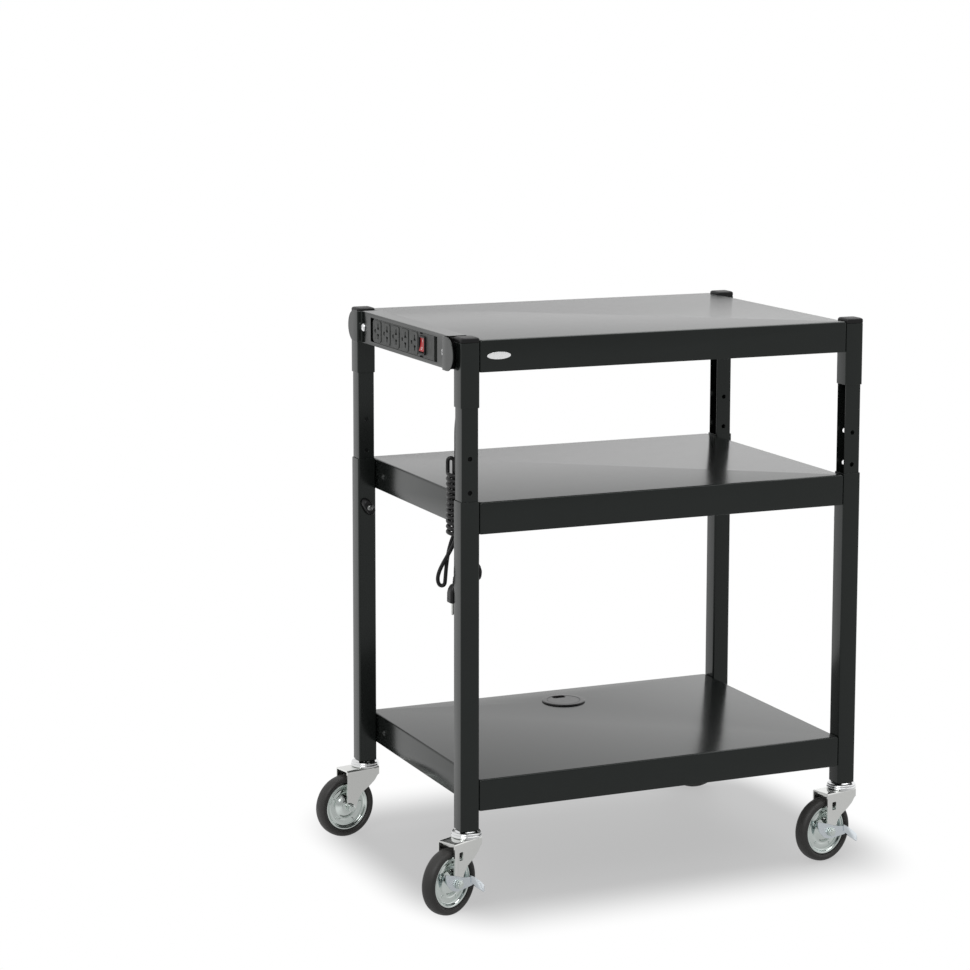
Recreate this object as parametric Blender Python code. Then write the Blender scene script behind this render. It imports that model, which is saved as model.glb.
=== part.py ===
# Height adjustable cart with three shelves, telescoping legs, swivel casters and a power outlet housing
# Frame: +X to the cart's right, -Y to its front, +Z up, metres
import bpy
import bmesh
from math import acos, asin, cos, pi, radians, sin, sqrt
from mathutils import Matrix, Vector

for old_object in list(bpy.data.objects):
    bpy.data.objects.remove(old_object, do_unlink=True)

# Clearances and cutting
GAP = 0.0003
CUT_OVERRUN = 0.002

# Main frame
FRAME_WIDTH = 0.680
FRAME_DEPTH = 0.455
LEG_SIZE = 0.030
LEG_WALL = 0.0015
LEG_CORNER = 0.003
LEG_TOP_BELOW_TOP_SHELF = 0.240

# Upper legs, sleeves and caps
CHANNEL_WALL = 0.002
CHANNEL_ABOVE_LEG_BOTTOM = 0.1712
HOLE_RADIUS = 0.004
HOLE_PITCH = 0.0508
HOLE_COUNT = 8
TOP_HOLE_DROP = 0.172
SLEEVE_LENGTH = 0.0965
CAP_THICKNESS = 0.008
CAP_ABOVE_SHELF = 0.0045
CAP_CORNER = 0.003
CAP_PLUG_DEPTH = 0.012

# Shelves
BOTTOM_SHELF_TOP = 0.200
MIDDLE_SHELF_BELOW_LEG_TOP = 0.0015
TOP_SHELF_TOP = 0.863
LIP_HEIGHT = 0.048
SHEET = 0.0015
PAN_BEND = 0.003

# Shelf fasteners
BOLT_RADIUS = 0.003
BOLT_HEAD_RADIUS = 0.006
BOLT_HEAD_HEIGHT = 0.004
BOLT_TIP_LENGTH = 0.006
LIP_SCREW_FROM_LEG = 0.034
LIP_SCREW_HEAD_RADIUS = 0.005
LIP_SCREW_HEAD_HEIGHT = 0.003
LIP_NUT_RADIUS = 0.0045
LIP_NUT_HEIGHT = 0.003

# Cable grommet in the bottom shelf
GROMMET_X = 0.005
GROMMET_FROM_BACK = 0.0755
GROMMET_HOLE_RADIUS = 0.030
GROMMET_FLANGE_RADIUS = 0.036
GROMMET_FLANGE_HEIGHT = 0.0022
GROMMET_WALL = 0.0022
GROMMET_SLEEVE_DEPTH = 0.014
GROMMET_LEDGE = 0.0025
GROMMET_CAP_THICKNESS = 0.002
GROMMET_SLOT_WIDTH = 0.022
GROMMET_SLOT_START = 0.013

GROMMET_SIDES = 24

# Badge place
BADGE_FROM_LEG = 0.030
BADGE_HALF_LENGTH = 0.019
BADGE_HALF_HEIGHT = 0.007
BADGE_THICKNESS = 0.0008

# Lock knobs
LOCK_BELOW_LEG_TOP = 0.078
STUD_RADIUS = 0.00325
KNOB_DEPTH = 0.012
KNOB_HUB_RADIUS = 0.008
KNOB_WING_REACH = 0.0155
KNOB_CAP_RADIUS = 0.005
KNOB_CAP_HEIGHT = 0.0035
KNOB_TURNS = {"front_right": radians(90.0)}

# Round lock knob on the inner side of the front left leg, away from the cord
ROUND_KNOB_BELOW_LEG_TOP = 0.108
ROUND_KNOB_RADIUS = 0.0125
ROUND_KNOB_DEPTH = 0.0105

# Power outlet housing
HOUSING_HEIGHT = 0.050
HOUSING_ABOVE_SHELF = 0.002
HOUSING_WALL = 0.0012
HOUSING_PROUD = 0.001
END_PIECE_LENGTH = 0.0185
END_PIECE_CLEARANCE = 0.0025
END_PIECE_INSET = 0.002
FACE_THICKNESS = 0.0015
EAR_STAND_OFF = 0.0095
EAR_REACH = 0.0405
WINDOW_FROM_END = 0.039
WINDOW_HEIGHT = 0.038
FACE_SCREW_FROM_END = 0.0095
FACE_SCREW_HEAD_RADIUS = 0.0068
FACE_SCREW_HEAD_HEIGHT = 0.0042
FACE_SCREW_RADIUS = 0.0022
FACE_SCREW_LENGTH = 0.009

# Outlet strip and switch
STRIP_END_SLOT = 0.013
STRIP_DEPTH = 0.011
STRIP_FLANGE = 0.003
STRIP_FLANGE_DEPTH = 0.003
OUTLET_COUNT = 5
FIRST_OUTLET_FROM_END = 0.0205
LAST_OUTLET_FROM_END = 0.0753
BLADE_SLOT_LENGTH = 0.0075
BLADE_SLOT_WIDTH = 0.0022
BLADE_SPACING = 0.0157
GROUND_RADIUS = 0.0026
GROUND_OFFSET = 0.0125
SWITCH_FROM_END = 0.044
SWITCH_WIDTH = 0.0245
SWITCH_HEIGHT = 0.021
SWITCH_PROUD = 0.0018
SWITCH_PIVOT_DEPTH = 0.008
SWITCH_TILT = radians(7.0)
SWITCH_PLAY = 0.0004

# Casters
WHEEL_RADIUS = 0.0508
WHEEL_SIDES = 24
TYRE_WIDTH = 0.024
TYRE_HEIGHT = 0.0116
HUB_RADIUS = 0.0072
AXLE_RADIUS = 0.004
CASTER_TRAIL = 0.040
FORK_WIDTH = 0.0345
FORK_SHEET = 0.0025
FORK_ABOVE_WHEEL = 0.0104
FORK_BEHIND_AXLE = 0.005
FORK_BEFORE_AXLE = 0.012
FORK_SKIRT = 0.012
SWIVEL_HEIGHT = 0.011
FORK_FRONT_RADIUS = 0.0235
FORK_BELOW_AXLE = 0.0085
RACE_RADIUS = 0.0235
KINGPIN_RADIUS = 0.005
KINGPIN_HEAD_RADIUS = 0.008
KINGPIN_HEAD_HEIGHT = 0.003
STEM_LENGTH = 0.030
NUT_RADIUS = 0.0072
NUT_HEIGHT = 0.007
TRAIL_ANGLES = {"front_left": radians(205.5), "front_right": radians(193.0),
                "back_left": radians(191.5), "back_right": radians(150.0)}
BRAKED = ("front_left", "front_right")
LEVER_SHEET = 0.002
PEDAL_REACH = 0.056
PEDAL_WIDTH = 0.014
PEDAL_LENGTH = 0.022
LEVER_WING = 0.029

# Power cord
CORD_DIAMETER = 0.006
CORD_GAP = 0.002
WRAP_EASE = 0.0023
WRAP_CORNER = 0.006
WRAP_TURNS = 11.5
HANK_FROM_LEG = 0.003
HANK_FROM_SIDE_LIP = 0.0188
HANK_WRAP_DROP = 0.205
HANK_FEED_DROP = 0.156
WRAP_START = radians(150.0)
BIGHT_HEIGHT = 0.0155
# The hanging loop's cubic pulls and lowest point: out from the hank, back from it, down from the last turn
LOOP_OUTER_START = (0.002, -0.0025, 0.026)
LOOP_OUTER_END = (0.036, 0.024, 0.066)
LOOP_LOW = (0.0152, 0.0114, 0.0795)
LOOP_TURN = 0.26
LOOP_INNER_END = (0.012, 0.017, 0.036)
GLAND_RADIUS = 0.007
GLAND_LENGTH = 0.024
GLAND_FROM_LEG = 0.0115
PLUG_WIDTH = 0.023
PLUG_DEPTH = 0.019
PLUG_LENGTH = 0.027
PLUG_BOOT_LENGTH = 0.012
PLUG_DROP = 0.358
PLUG_ASIDE = 0.003
PLUG_FORWARD = 0.0045
PLUG_BLADE_LENGTH = 0.016
PLUG_BLADE_WIDTH = 0.0063
PLUG_BLADE_THICKNESS = 0.0016
PLUG_BLADE_SPACING = 0.0127
PLUG_BLADE_OFFSET = 0.007
PLUG_PIN_SPACING = 0.0119
PLUG_PIN_RADIUS = 0.0024
PLUG_PIN_LENGTH = 0.019

# Places that follow from the sizes above
rim_radius = WHEEL_RADIUS - TYRE_HEIGHT
fork_top = 2 * WHEEL_RADIUS + FORK_ABOVE_WHEEL
leg_bottom = fork_top + SWIVEL_HEIGHT
half_width = FRAME_WIDTH / 2
half_depth = FRAME_DEPTH / 2
leg_x = half_width - LEG_SIZE / 2
leg_y = half_depth - LEG_SIZE / 2
inner_x = half_width - LEG_SIZE
inner_y = half_depth - LEG_SIZE
leg_top = TOP_SHELF_TOP - LEG_TOP_BELOW_TOP_SHELF
middle_shelf_top = leg_top - MIDDLE_SHELF_BELOW_LEG_TOP
bore = LEG_SIZE - 2 * LEG_WALL
channel_size = bore - 2 * GAP
cap_top = TOP_SHELF_TOP + CAP_ABOVE_SHELF
cap_bottom = cap_top - CAP_THICKNESS
sleeve_top = cap_bottom - GAP
channel_top = sleeve_top
first_hole = channel_top - TOP_HOLE_DROP
pan_half_width = inner_x - GAP
CORNERS = {"front_left": (-1, -1), "front_right": (1, -1), "back_left": (-1, 1), "back_right": (1, 1)}


# Materials

def material(name, colour, roughness, metallic):
    made = bpy.data.materials.new(name)
    made.use_nodes = True
    shader = made.node_tree.nodes["Principled BSDF"]
    shader.inputs["Base Color"].default_value = (*colour, 1.0)
    shader.inputs["Roughness"].default_value = roughness
    shader.inputs["Metallic"].default_value = metallic
    return made


PAINT = material("black_paint", (0.022, 0.023, 0.024), 0.38, 0.0)
BLACK_PLASTIC = material("black_plastic", (0.012, 0.012, 0.013), 0.45, 0.0)
STRIP_PLASTIC = material("outlet_plastic", (0.035, 0.036, 0.038), 0.5, 0.0)
RED_PLASTIC = material("red_plastic", (0.45, 0.015, 0.02), 0.25, 0.0)
ZINC = material("bright_zinc", (0.70, 0.72, 0.72), 0.22, 1.0)
CHROME = material("chrome", (0.80, 0.81, 0.82), 0.10, 1.0)
RUBBER = material("grey_rubber", (0.045, 0.045, 0.043), 0.7, 0.0)
CORD_JACKET = material("cord_jacket", (0.014, 0.014, 0.015), 0.5, 0.0)
BADGE_METAL = material("badge_metal", (0.62, 0.63, 0.64), 0.3, 1.0)


# Modelling helpers

def add_object(name, mesh_builder, look, parent, location=(0, 0, 0), smooth=True):
    bmesh.ops.recalc_face_normals(mesh_builder, faces=mesh_builder.faces)
    mesh = bpy.data.meshes.new(name)
    mesh_builder.to_mesh(mesh)
    mesh_builder.free()
    if smooth:
        mesh.shade_smooth()
        mesh.set_sharp_from_angle(angle=radians(35))
    mesh.materials.append(look)
    made = bpy.data.objects.new(name, mesh)
    bpy.context.scene.collection.objects.link(made)
    made.parent = parent
    made.location = location
    return made


def add_empty(name, parent, location=(0, 0, 0), turn=0.0):
    made = bpy.data.objects.new(name, None)
    bpy.context.scene.collection.objects.link(made)
    made.parent = parent
    made.location = location
    made.rotation_euler = (0, 0, turn)
    return made


def block(builder, low, high):
    centre = [(a + b) / 2 for a, b in zip(low, high)]
    size = [b - a for a, b in zip(low, high)]
    place = Matrix.Translation(centre) @ Matrix.Diagonal((*size, 1.0))
    return bmesh.ops.create_cube(builder, size=1.0, matrix=place)["verts"]


def prism(builder, outline, low, high, axis):
    # An outline of (u, v) pairs extruded from low to high along the axis
    def place(u, v, w):
        return {"X": (w, u, v), "Y": (u, w, v), "Z": (u, v, w)}[axis]
    start = [builder.verts.new(place(u, v, low)) for u, v in outline]
    end = [builder.verts.new(place(u, v, high)) for u, v in outline]
    builder.faces.new(start)
    builder.faces.new(list(reversed(end)))
    for i in range(len(outline)):
        j = (i + 1) % len(outline)
        builder.faces.new((start[i], end[i], end[j], start[j]))


def turned(builder, profile, segments, axis, centre=(0, 0, 0), closed=False, phase=0.0):
    # A profile of (radius, along) pairs turned round the axis; closed for a ring with a bore
    def place(radius, along, angle):
        a, b = radius * cos(angle), radius * sin(angle)
        x, y, z = {"X": (along, a, b), "Y": (a, along, b), "Z": (a, b, along)}[axis]
        return (x + centre[0], y + centre[1], z + centre[2])
    rows = []
    for radius, along in profile:
        if radius == 0:
            rows.append([builder.verts.new(place(0, along, 0))])
        else:
            rows.append([builder.verts.new(place(radius, along, phase + 2 * pi * k / segments))
                         for k in range(segments)])
    pairs = list(zip(rows, rows[1:]))
    if closed:
        pairs.append((rows[-1], rows[0]))
    for first, second in pairs:
        for k in range(segments):
            m = (k + 1) % segments
            corners = [first[k % len(first)], first[m % len(first)],
                       second[m % len(second)], second[k % len(second)]]
            unique = list(dict.fromkeys(corners))
            builder.faces.new(unique)


def rounded_rectangle(width, height, radius, steps):
    outline = []
    for index, (sx, sy) in enumerate(((1, 1), (-1, 1), (-1, -1), (1, -1))):
        for k in range(steps + 1):
            angle = pi / 2 * (index + k / steps)
            outline.append((sx * (width / 2 - radius) + radius * cos(angle),
                            sy * (height / 2 - radius) + radius * sin(angle)))
    return outline


def cutter(name, builder, parent, location=(0, 0, 0)):
    made = add_object(name, builder, BLACK_PLASTIC, parent, location, smooth=False)
    made.hide_render = True
    made.display_type = "WIRE"
    return made


def boolean(target, other, operation="DIFFERENCE"):
    change = target.modifiers.new(other.name, "BOOLEAN")
    change.operation = operation
    change.solver = "EXACT"
    change.object = other


def rod_builder(axis, radius, low, high, centres, segments=10):
    builder = bmesh.new()
    for centre in centres:
        turned(builder, [(0, low), (radius, low), (radius, high), (0, high)], segments, axis, centre)
    return builder


cart = add_empty("cart", None)
lift = add_empty("lift", cart, (0, 0, leg_top))


# Lower frame: legs

def square_tube(low, high):
    builder = bmesh.new()
    outer = rounded_rectangle(LEG_SIZE, LEG_SIZE, LEG_CORNER, 2)
    inner = rounded_rectangle(bore, bore, LEG_CORNER - LEG_WALL, 2)
    rings = [[builder.verts.new((u, v, z)) for u, v in outline]
             for outline, z in ((outer, low), (outer, high), (inner, high), (inner, low))]
    for first, second in zip(rings, rings[1:] + rings[:1]):
        for i in range(len(outer)):
            j = (i + 1) % len(outer)
            builder.faces.new((first[i], first[j], second[j], second[i]))
    return builder


lock_z = leg_top - LOCK_BELOW_LEG_TOP
round_lock_z = leg_top - ROUND_KNOB_BELOW_LEG_TOP
ROUND_KNOB_CORNER = "front_left"


def wall_holes(name, parent, axis, outward, radius, heights):
    # Holes through one wall of a square tube; outward is the side it faces along the axis
    inside = LEG_SIZE / 2 - LEG_WALL - CUT_OVERRUN
    low, high = sorted((outward * inside, outward * (LEG_SIZE / 2 + CUT_OVERRUN)))
    centres = [(0, 0, z) for z in heights]
    boolean(parent, cutter(name, rod_builder(axis, radius, low, high, centres), parent))


for corner, (sx, sy) in CORNERS.items():
    leg = add_object("lower_leg_" + corner, square_tube(leg_bottom, leg_top), PAINT, cart,
                     (sx * leg_x, sy * leg_y, 0))
    heights = [top - LIP_HEIGHT / 2 for top in (BOTTOM_SHELF_TOP, middle_shelf_top)]
    wall_holes("bolt_holes_" + corner, leg, "X", -sx, BOLT_RADIUS + GAP, heights)
    if corner == ROUND_KNOB_CORNER:
        wall_holes("stud_hole_" + corner, leg, "X", -sx, STUD_RADIUS + GAP, [round_lock_z])
    else:
        wall_holes("stud_hole_" + corner, leg, "Y", -sy, STUD_RADIUS + GAP, [lock_z])


# Shelf pans

def pan(name, top, parent):
    builder = bmesh.new()
    corner_edges = []
    block(builder, (-pan_half_width, -half_depth, top - LIP_HEIGHT), (pan_half_width, half_depth, top))
    for edge in builder.edges:
        if any(vert.co.z > top - LIP_HEIGHT / 2 for vert in edge.verts):
            corner_edges.append(edge)
    bmesh.ops.bevel(builder, geom=corner_edges, offset=PAN_BEND, segments=3, profile=0.5, affect="EDGES")
    made = add_object(name, builder, PAINT, parent, (0, 0, -parent.location.z))
    hollow = bmesh.new()
    block(hollow, (-pan_half_width + SHEET, -half_depth + SHEET, top - LIP_HEIGHT - CUT_OVERRUN),
          (pan_half_width - SHEET, half_depth - SHEET, top - SHEET))
    boolean(made, cutter(name + "_hollow", hollow, made))
    boolean(made, cutter(name + "_bolts", shelf_bolts(top), made), "UNION")
    return made


def shelf_bolts(top):
    # Hexagon heads on the lip's inner face, shanks through the lip into the leg
    head_face = pan_half_width - SHEET
    tip = inner_x + LEG_WALL + BOLT_TIP_LENGTH
    profile = [(0, head_face - BOLT_HEAD_HEIGHT), (BOLT_HEAD_RADIUS, head_face - BOLT_HEAD_HEIGHT),
               (BOLT_HEAD_RADIUS, head_face + SHEET / 2), (BOLT_RADIUS, head_face + SHEET / 2),
               (BOLT_RADIUS, tip), (0, tip)]
    builder = bmesh.new()
    for sx in (-1, 1):
        for sy in (-1, 1):
            turned(builder, [(radius, sx * along) for radius, along in profile], 6, "X",
                   (0, sy * leg_y, top - LIP_HEIGHT / 2))
    return builder


def lip_screws(top):
    # Round heads outside the side lips, with a nut inside
    inside = pan_half_width - SHEET
    profile = [(0, inside - LIP_NUT_HEIGHT), (LIP_NUT_RADIUS, inside - LIP_NUT_HEIGHT),
               (LIP_NUT_RADIUS, inside + SHEET / 2), (LIP_SCREW_HEAD_RADIUS, inside + SHEET / 2),
               (LIP_SCREW_HEAD_RADIUS, pan_half_width + LIP_SCREW_HEAD_HEIGHT * 0.2),
               (LIP_SCREW_HEAD_RADIUS * 0.7, pan_half_width + LIP_SCREW_HEAD_HEIGHT * 0.8),
               (0, pan_half_width + LIP_SCREW_HEAD_HEIGHT)]
    builder = bmesh.new()
    for sx in (-1, 1):
        for sy in (-1, 1):
            turned(builder, [(radius, sx * along) for radius, along in profile], 8, "X",
                   (0, sy * (inner_y - LIP_SCREW_FROM_LEG), top - LIP_HEIGHT / 2))
    return builder


bottom_shelf = pan("bottom_shelf", BOTTOM_SHELF_TOP, cart)
middle_shelf = pan("middle_shelf", middle_shelf_top, cart)
top_shelf = pan("top_shelf", TOP_SHELF_TOP, lift)
for shelf, top in ((bottom_shelf, BOTTOM_SHELF_TOP), (middle_shelf, middle_shelf_top)):
    boolean(shelf, cutter(shelf.name + "_lip_screws", lip_screws(top), shelf), "UNION")


# Cable grommet

grommet_y = half_depth - GROMMET_FROM_BACK
grommet_hole = rod_builder("Z", GROMMET_HOLE_RADIUS, BOTTOM_SHELF_TOP - SHEET - CUT_OVERRUN,
                           BOTTOM_SHELF_TOP + CUT_OVERRUN, [(GROMMET_X, grommet_y, 0)], GROMMET_SIDES)
boolean(bottom_shelf, cutter("grommet_hole", grommet_hole, bottom_shelf))

liner_outer = GROMMET_HOLE_RADIUS - GAP
liner_inner = liner_outer - GROMMET_WALL
flange_low = BOTTOM_SHELF_TOP + GAP
flange_high = flange_low + GROMMET_FLANGE_HEIGHT
ledge_top = flange_high - GROMMET_CAP_THICKNESS - GAP
ledge_inner = liner_inner - GROMMET_LEDGE
liner_profile = [(GROMMET_FLANGE_RADIUS, flange_low),
                 (GROMMET_FLANGE_RADIUS - GROMMET_FLANGE_HEIGHT / 2, flange_high),
                 (liner_inner, flange_high), (liner_inner, ledge_top), (ledge_inner, ledge_top),
                 (ledge_inner, ledge_top - GROMMET_WALL),
                 (liner_inner, ledge_top - GROMMET_WALL), (liner_inner, flange_low - GROMMET_SLEEVE_DEPTH),
                 (liner_outer, flange_low - GROMMET_SLEEVE_DEPTH), (liner_outer, flange_low)]
liner = bmesh.new()
turned(liner, liner_profile, GROMMET_SIDES, "Z", closed=True)
add_object("grommet_liner", liner, BLACK_PLASTIC, cart, (GROMMET_X, grommet_y, 0))

# Slotted cap: a disc whose slot is open towards the back
cap_radius = liner_inner - GAP
slot_half = GROMMET_SLOT_WIDTH / 2
slot_angle = acos(slot_half / cap_radius)
outline = [(slot_half, GROMMET_SLOT_START)]
arc_steps = GROMMET_SIDES
for k in range(arc_steps + 1):
    angle = slot_angle - (2 * slot_angle + pi) * k / arc_steps
    outline.append((cap_radius * cos(angle), cap_radius * sin(angle)))
outline.append((-slot_half, GROMMET_SLOT_START))
disc = bmesh.new()
prism(disc, outline, ledge_top + GAP, flange_high, "Z")
add_object("grommet_cap", disc, BLACK_PLASTIC, cart, (GROMMET_X, grommet_y, 0))


# Upper frame: channels, sleeves and caps

def channel_outline(sx):
    # Open side towards the shelves; the flanges end before the rounded corners of the tube
    half = channel_size / 2
    inner = half - CHANNEL_WALL
    bend = LEG_CORNER - LEG_WALL
    edge = -sx * (half - bend)
    outline = [(edge, -half)]
    for turn_index in range(2):
        for k in range(3):
            angle = pi / 2 * (-1 + turn_index + k / 2)
            sign = -1 if turn_index == 0 else 1
            outline.append((sx * (half - bend + bend * cos(angle)), sign * (half - bend) + bend * sin(angle)))
    outline += [(edge, half), (edge, inner), (sx * inner, inner), (sx * inner, -inner), (edge, -inner)]
    return outline


for corner, (sx, sy) in CORNERS.items():
    place = (sx * leg_x, sy * leg_y, -leg_top)
    channel = bmesh.new()
    prism(channel, channel_outline(sx), leg_bottom + CHANNEL_ABOVE_LEG_BOTTOM, channel_top, "Z")
    upper_leg = add_object("upper_leg_" + corner, channel, PAINT, lift, place)
    reach = channel_size / 2 + CUT_OVERRUN
    centres = [(0, 0, first_hole - HOLE_PITCH * k) for k in range(HOLE_COUNT)]
    holes = rod_builder("Y", HOLE_RADIUS, -reach, reach, centres, 8)
    boolean(upper_leg, cutter("adjust_holes_" + corner, holes, upper_leg))
    sleeve = add_object("leg_sleeve_" + corner, square_tube(sleeve_top - SLEEVE_LENGTH, sleeve_top), PAINT,
                        lift, place)
    bolt_z = TOP_SHELF_TOP - LIP_HEIGHT / 2
    wall_holes("sleeve_holes_" + corner, sleeve, "X", -sx, BOLT_RADIUS + GAP, [bolt_z])

plug_width = channel_size - 2 * CHANNEL_WALL - 2 * GAP
for corner, (sx, sy) in CORNERS.items():
    cap = bmesh.new()
    layers = [(LEG_SIZE, LEG_CORNER, cap_bottom), (LEG_SIZE, LEG_CORNER, cap_top - CAP_CORNER),
              (LEG_SIZE - CAP_CORNER * 0.6, LEG_CORNER, cap_top - CAP_CORNER * 0.3),
              (LEG_SIZE - CAP_CORNER * 2, LEG_CORNER, cap_top)]
    rings = [[cap.verts.new((u, v, z)) for u, v in rounded_rectangle(size, size, radius, 2)]
             for size, radius, z in layers]
    plug = [[cap.verts.new((u, v, z)) for u, v in rounded_rectangle(plug_width, plug_width, LEG_CORNER, 2)]
            for z in (cap_bottom, cap_bottom - CAP_PLUG_DEPTH)]
    for first, second in list(zip(rings, rings[1:])) + [(rings[0], plug[0]), (plug[0], plug[1])]:
        for i in range(len(first)):
            j = (i + 1) % len(first)
            cap.faces.new((first[i], first[j], second[j], second[i]))
    cap.faces.new(rings[-1])
    cap.faces.new(plug[1])
    add_object("leg_cap_" + corner, cap, BLACK_PLASTIC, lift, (sx * leg_x, sy * leg_y, -leg_top))


# Lock knobs: each is built along its stud, from the tip outwards, and turns on the stud's axis

def lobe_radius(angle):
    return KNOB_HUB_RADIUS + (KNOB_WING_REACH - KNOB_HUB_RADIUS) * abs(cos(angle)) ** 3


def wing_knob(corner, sx, sy):
    # The tip ends flush with the wall's inner face, next to the channel's flange
    wing_low = LEG_WALL + GAP
    wing_high = wing_low + KNOB_DEPTH
    angles = [2 * pi * k / 20 for k in range(20)]
    knob = bmesh.new()
    prism(knob, [(lobe_radius(angle) * cos(angle), lobe_radius(angle) * sin(angle)) for angle in angles],
          -sy * wing_low, -sy * wing_high, "Y")
    made = add_object("lock_knob_" + corner, knob, BLACK_PLASTIC, cart,
                      (sx * leg_x, sy * (inner_y + LEG_WALL), lock_z))
    made.rotation_euler = (0, KNOB_TURNS.get(corner, 0), 0)
    rod = bmesh.new()
    rod_end = wing_low + KNOB_DEPTH / 2
    rod_profile = [(0, 0), (STUD_RADIUS, 0), (STUD_RADIUS, rod_end), (0, rod_end)]
    turned(rod, [(radius, -sy * along) for radius, along in rod_profile], 10, "Y")
    boolean(made, cutter("stud_" + corner, rod, made), "UNION")
    nose = bmesh.new()
    nose_profile = [(0, wing_high - KNOB_DEPTH / 3), (KNOB_CAP_RADIUS, wing_high - KNOB_DEPTH / 3),
                    (KNOB_CAP_RADIUS, wing_high + KNOB_CAP_HEIGHT / 2),
                    (KNOB_CAP_RADIUS * 0.6, wing_high + KNOB_CAP_HEIGHT), (0, wing_high + KNOB_CAP_HEIGHT)]
    turned(nose, [(radius, -sy * along) for radius, along in nose_profile], 10, "Y")
    boolean(made, cutter("nose_" + corner, nose, made), "UNION")


def round_knob(corner, sx, sy):
    # Its longer stud crosses the open side of the channel and ends next to the channel's web
    reach = LEG_SIZE / 2 + channel_size / 2 - CHANNEL_WALL - GAP
    low = reach + GAP
    edge_shares = [(0.88, 0.0), (1.0, 0.2), (1.0, 0.6), (0.75, 0.92), (0.0, 1.0)]
    profile = [(0, 0), (STUD_RADIUS, 0), (STUD_RADIUS, low)]
    profile += [(ROUND_KNOB_RADIUS * out, low + ROUND_KNOB_DEPTH * along) for out, along in edge_shares]
    knob = bmesh.new()
    turned(knob, [(radius, -sx * along) for radius, along in profile], 16, "X")
    add_object("lock_knob_" + corner, knob, BLACK_PLASTIC, cart,
               (sx * (leg_x + reach - LEG_SIZE / 2), sy * leg_y, round_lock_z))


for corner, (sx, sy) in CORNERS.items():
    if corner == ROUND_KNOB_CORNER:
        round_knob(corner, sx, sy)
    else:
        wing_knob(corner, sx, sy)


# Power outlet housing on the left end of the top shelf

housing_top = TOP_SHELF_TOP + HOUSING_ABOVE_SHELF
housing_bottom = housing_top - HOUSING_HEIGHT
housing_middle = (housing_top + housing_bottom) / 2
housing_half = inner_y - END_PIECE_CLEARANCE - END_PIECE_LENGTH
shell_inner_x = -inner_x
face_outer_x = -(half_width + HOUSING_PROUD)
shell_outer_x = face_outer_x + FACE_THICKNESS + GAP

shell = bmesh.new()
block(shell, (shell_outer_x, -housing_half, housing_bottom), (shell_inner_x, housing_half, housing_top))
shell_object = add_object("housing_shell", shell, PAINT, lift, (0, 0, -leg_top), smooth=False)
shell_hollow = bmesh.new()
hollow_half = housing_half - HOUSING_WALL
block(shell_hollow, (shell_outer_x - CUT_OVERRUN, -hollow_half, housing_bottom + HOUSING_WALL),
      (shell_inner_x - HOUSING_WALL, hollow_half, housing_top - HOUSING_WALL))
boolean(shell_object, cutter("shell_hollow", shell_hollow, shell_object))

# Face plate: flat panel, risers and ears in one bent sheet, its ends cut to half discs
riser_y = housing_half
ear_outer_x = face_outer_x - EAR_STAND_OFF
ear_end = riser_y + EAR_REACH
sheet = FACE_THICKNESS
face_back_x = face_outer_x + sheet
ear_back_x = ear_outer_x + sheet
bend_y = riser_y + GAP - sheet
back_half = [(face_outer_x, bend_y), (ear_outer_x, bend_y), (ear_outer_x, ear_end), (ear_back_x, ear_end),
             (ear_back_x, riser_y + GAP), (face_back_x, riser_y + GAP)]
face_outline = back_half + [(x, -y) for x, y in reversed(back_half)]
face = bmesh.new()
prism(face, face_outline, housing_bottom, housing_top, "Z")
face_object = add_object("housing_face", face, PAINT, lift, (0, 0, -leg_top))
ear_radius = HOUSING_HEIGHT / 2
stadium = []
for sign in (1, -1):
    for k in range(13):
        angle = -pi / 2 + pi * k / 12
        stadium.append((sign * (ear_end - ear_radius + ear_radius * cos(angle)),
                        housing_middle + sign * ear_radius * sin(angle)))
blank = bmesh.new()
prism(blank, stadium, ear_outer_x - CUT_OVERRUN, face_outer_x + sheet + CUT_OVERRUN, "X")
boolean(face_object, cutter("ear_shape", blank, face_object), "INTERSECT")
window_half = housing_half - WINDOW_FROM_END
window = bmesh.new()
block(window, (face_outer_x - CUT_OVERRUN, -window_half, housing_middle - WINDOW_HEIGHT / 2),
      (face_outer_x + sheet + CUT_OVERRUN, window_half, housing_middle + WINDOW_HEIGHT / 2))
boolean(face_object, cutter("face_window", window, face_object))
face_screw_y = housing_half - FACE_SCREW_FROM_END
screw_holes = rod_builder("X", FACE_SCREW_RADIUS + GAP, face_outer_x - CUT_OVERRUN,
                          face_outer_x + sheet + CUT_OVERRUN,
                          [(0, sy * face_screw_y, housing_middle) for sy in (-1, 1)])
boolean(face_object, cutter("face_screw_holes", screw_holes, face_object))
screw_face = face_outer_x - GAP
screw_profile = [(0, screw_face - FACE_SCREW_HEAD_HEIGHT),
                 (FACE_SCREW_HEAD_RADIUS * 0.55, screw_face - FACE_SCREW_HEAD_HEIGHT * 0.85),
                 (FACE_SCREW_HEAD_RADIUS * 0.9, screw_face - FACE_SCREW_HEAD_HEIGHT * 0.4),
                 (FACE_SCREW_HEAD_RADIUS, screw_face), (FACE_SCREW_RADIUS, screw_face),
                 (FACE_SCREW_RADIUS, screw_face + FACE_SCREW_LENGTH), (0, screw_face + FACE_SCREW_LENGTH)]
for name, sy in (("front", -1), ("back", 1)):
    screw = bmesh.new()
    turned(screw, screw_profile, 12, "X")
    add_object("housing_screw_" + name, screw, CHROME, lift, (0, sy * face_screw_y, housing_middle - leg_top))

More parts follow.
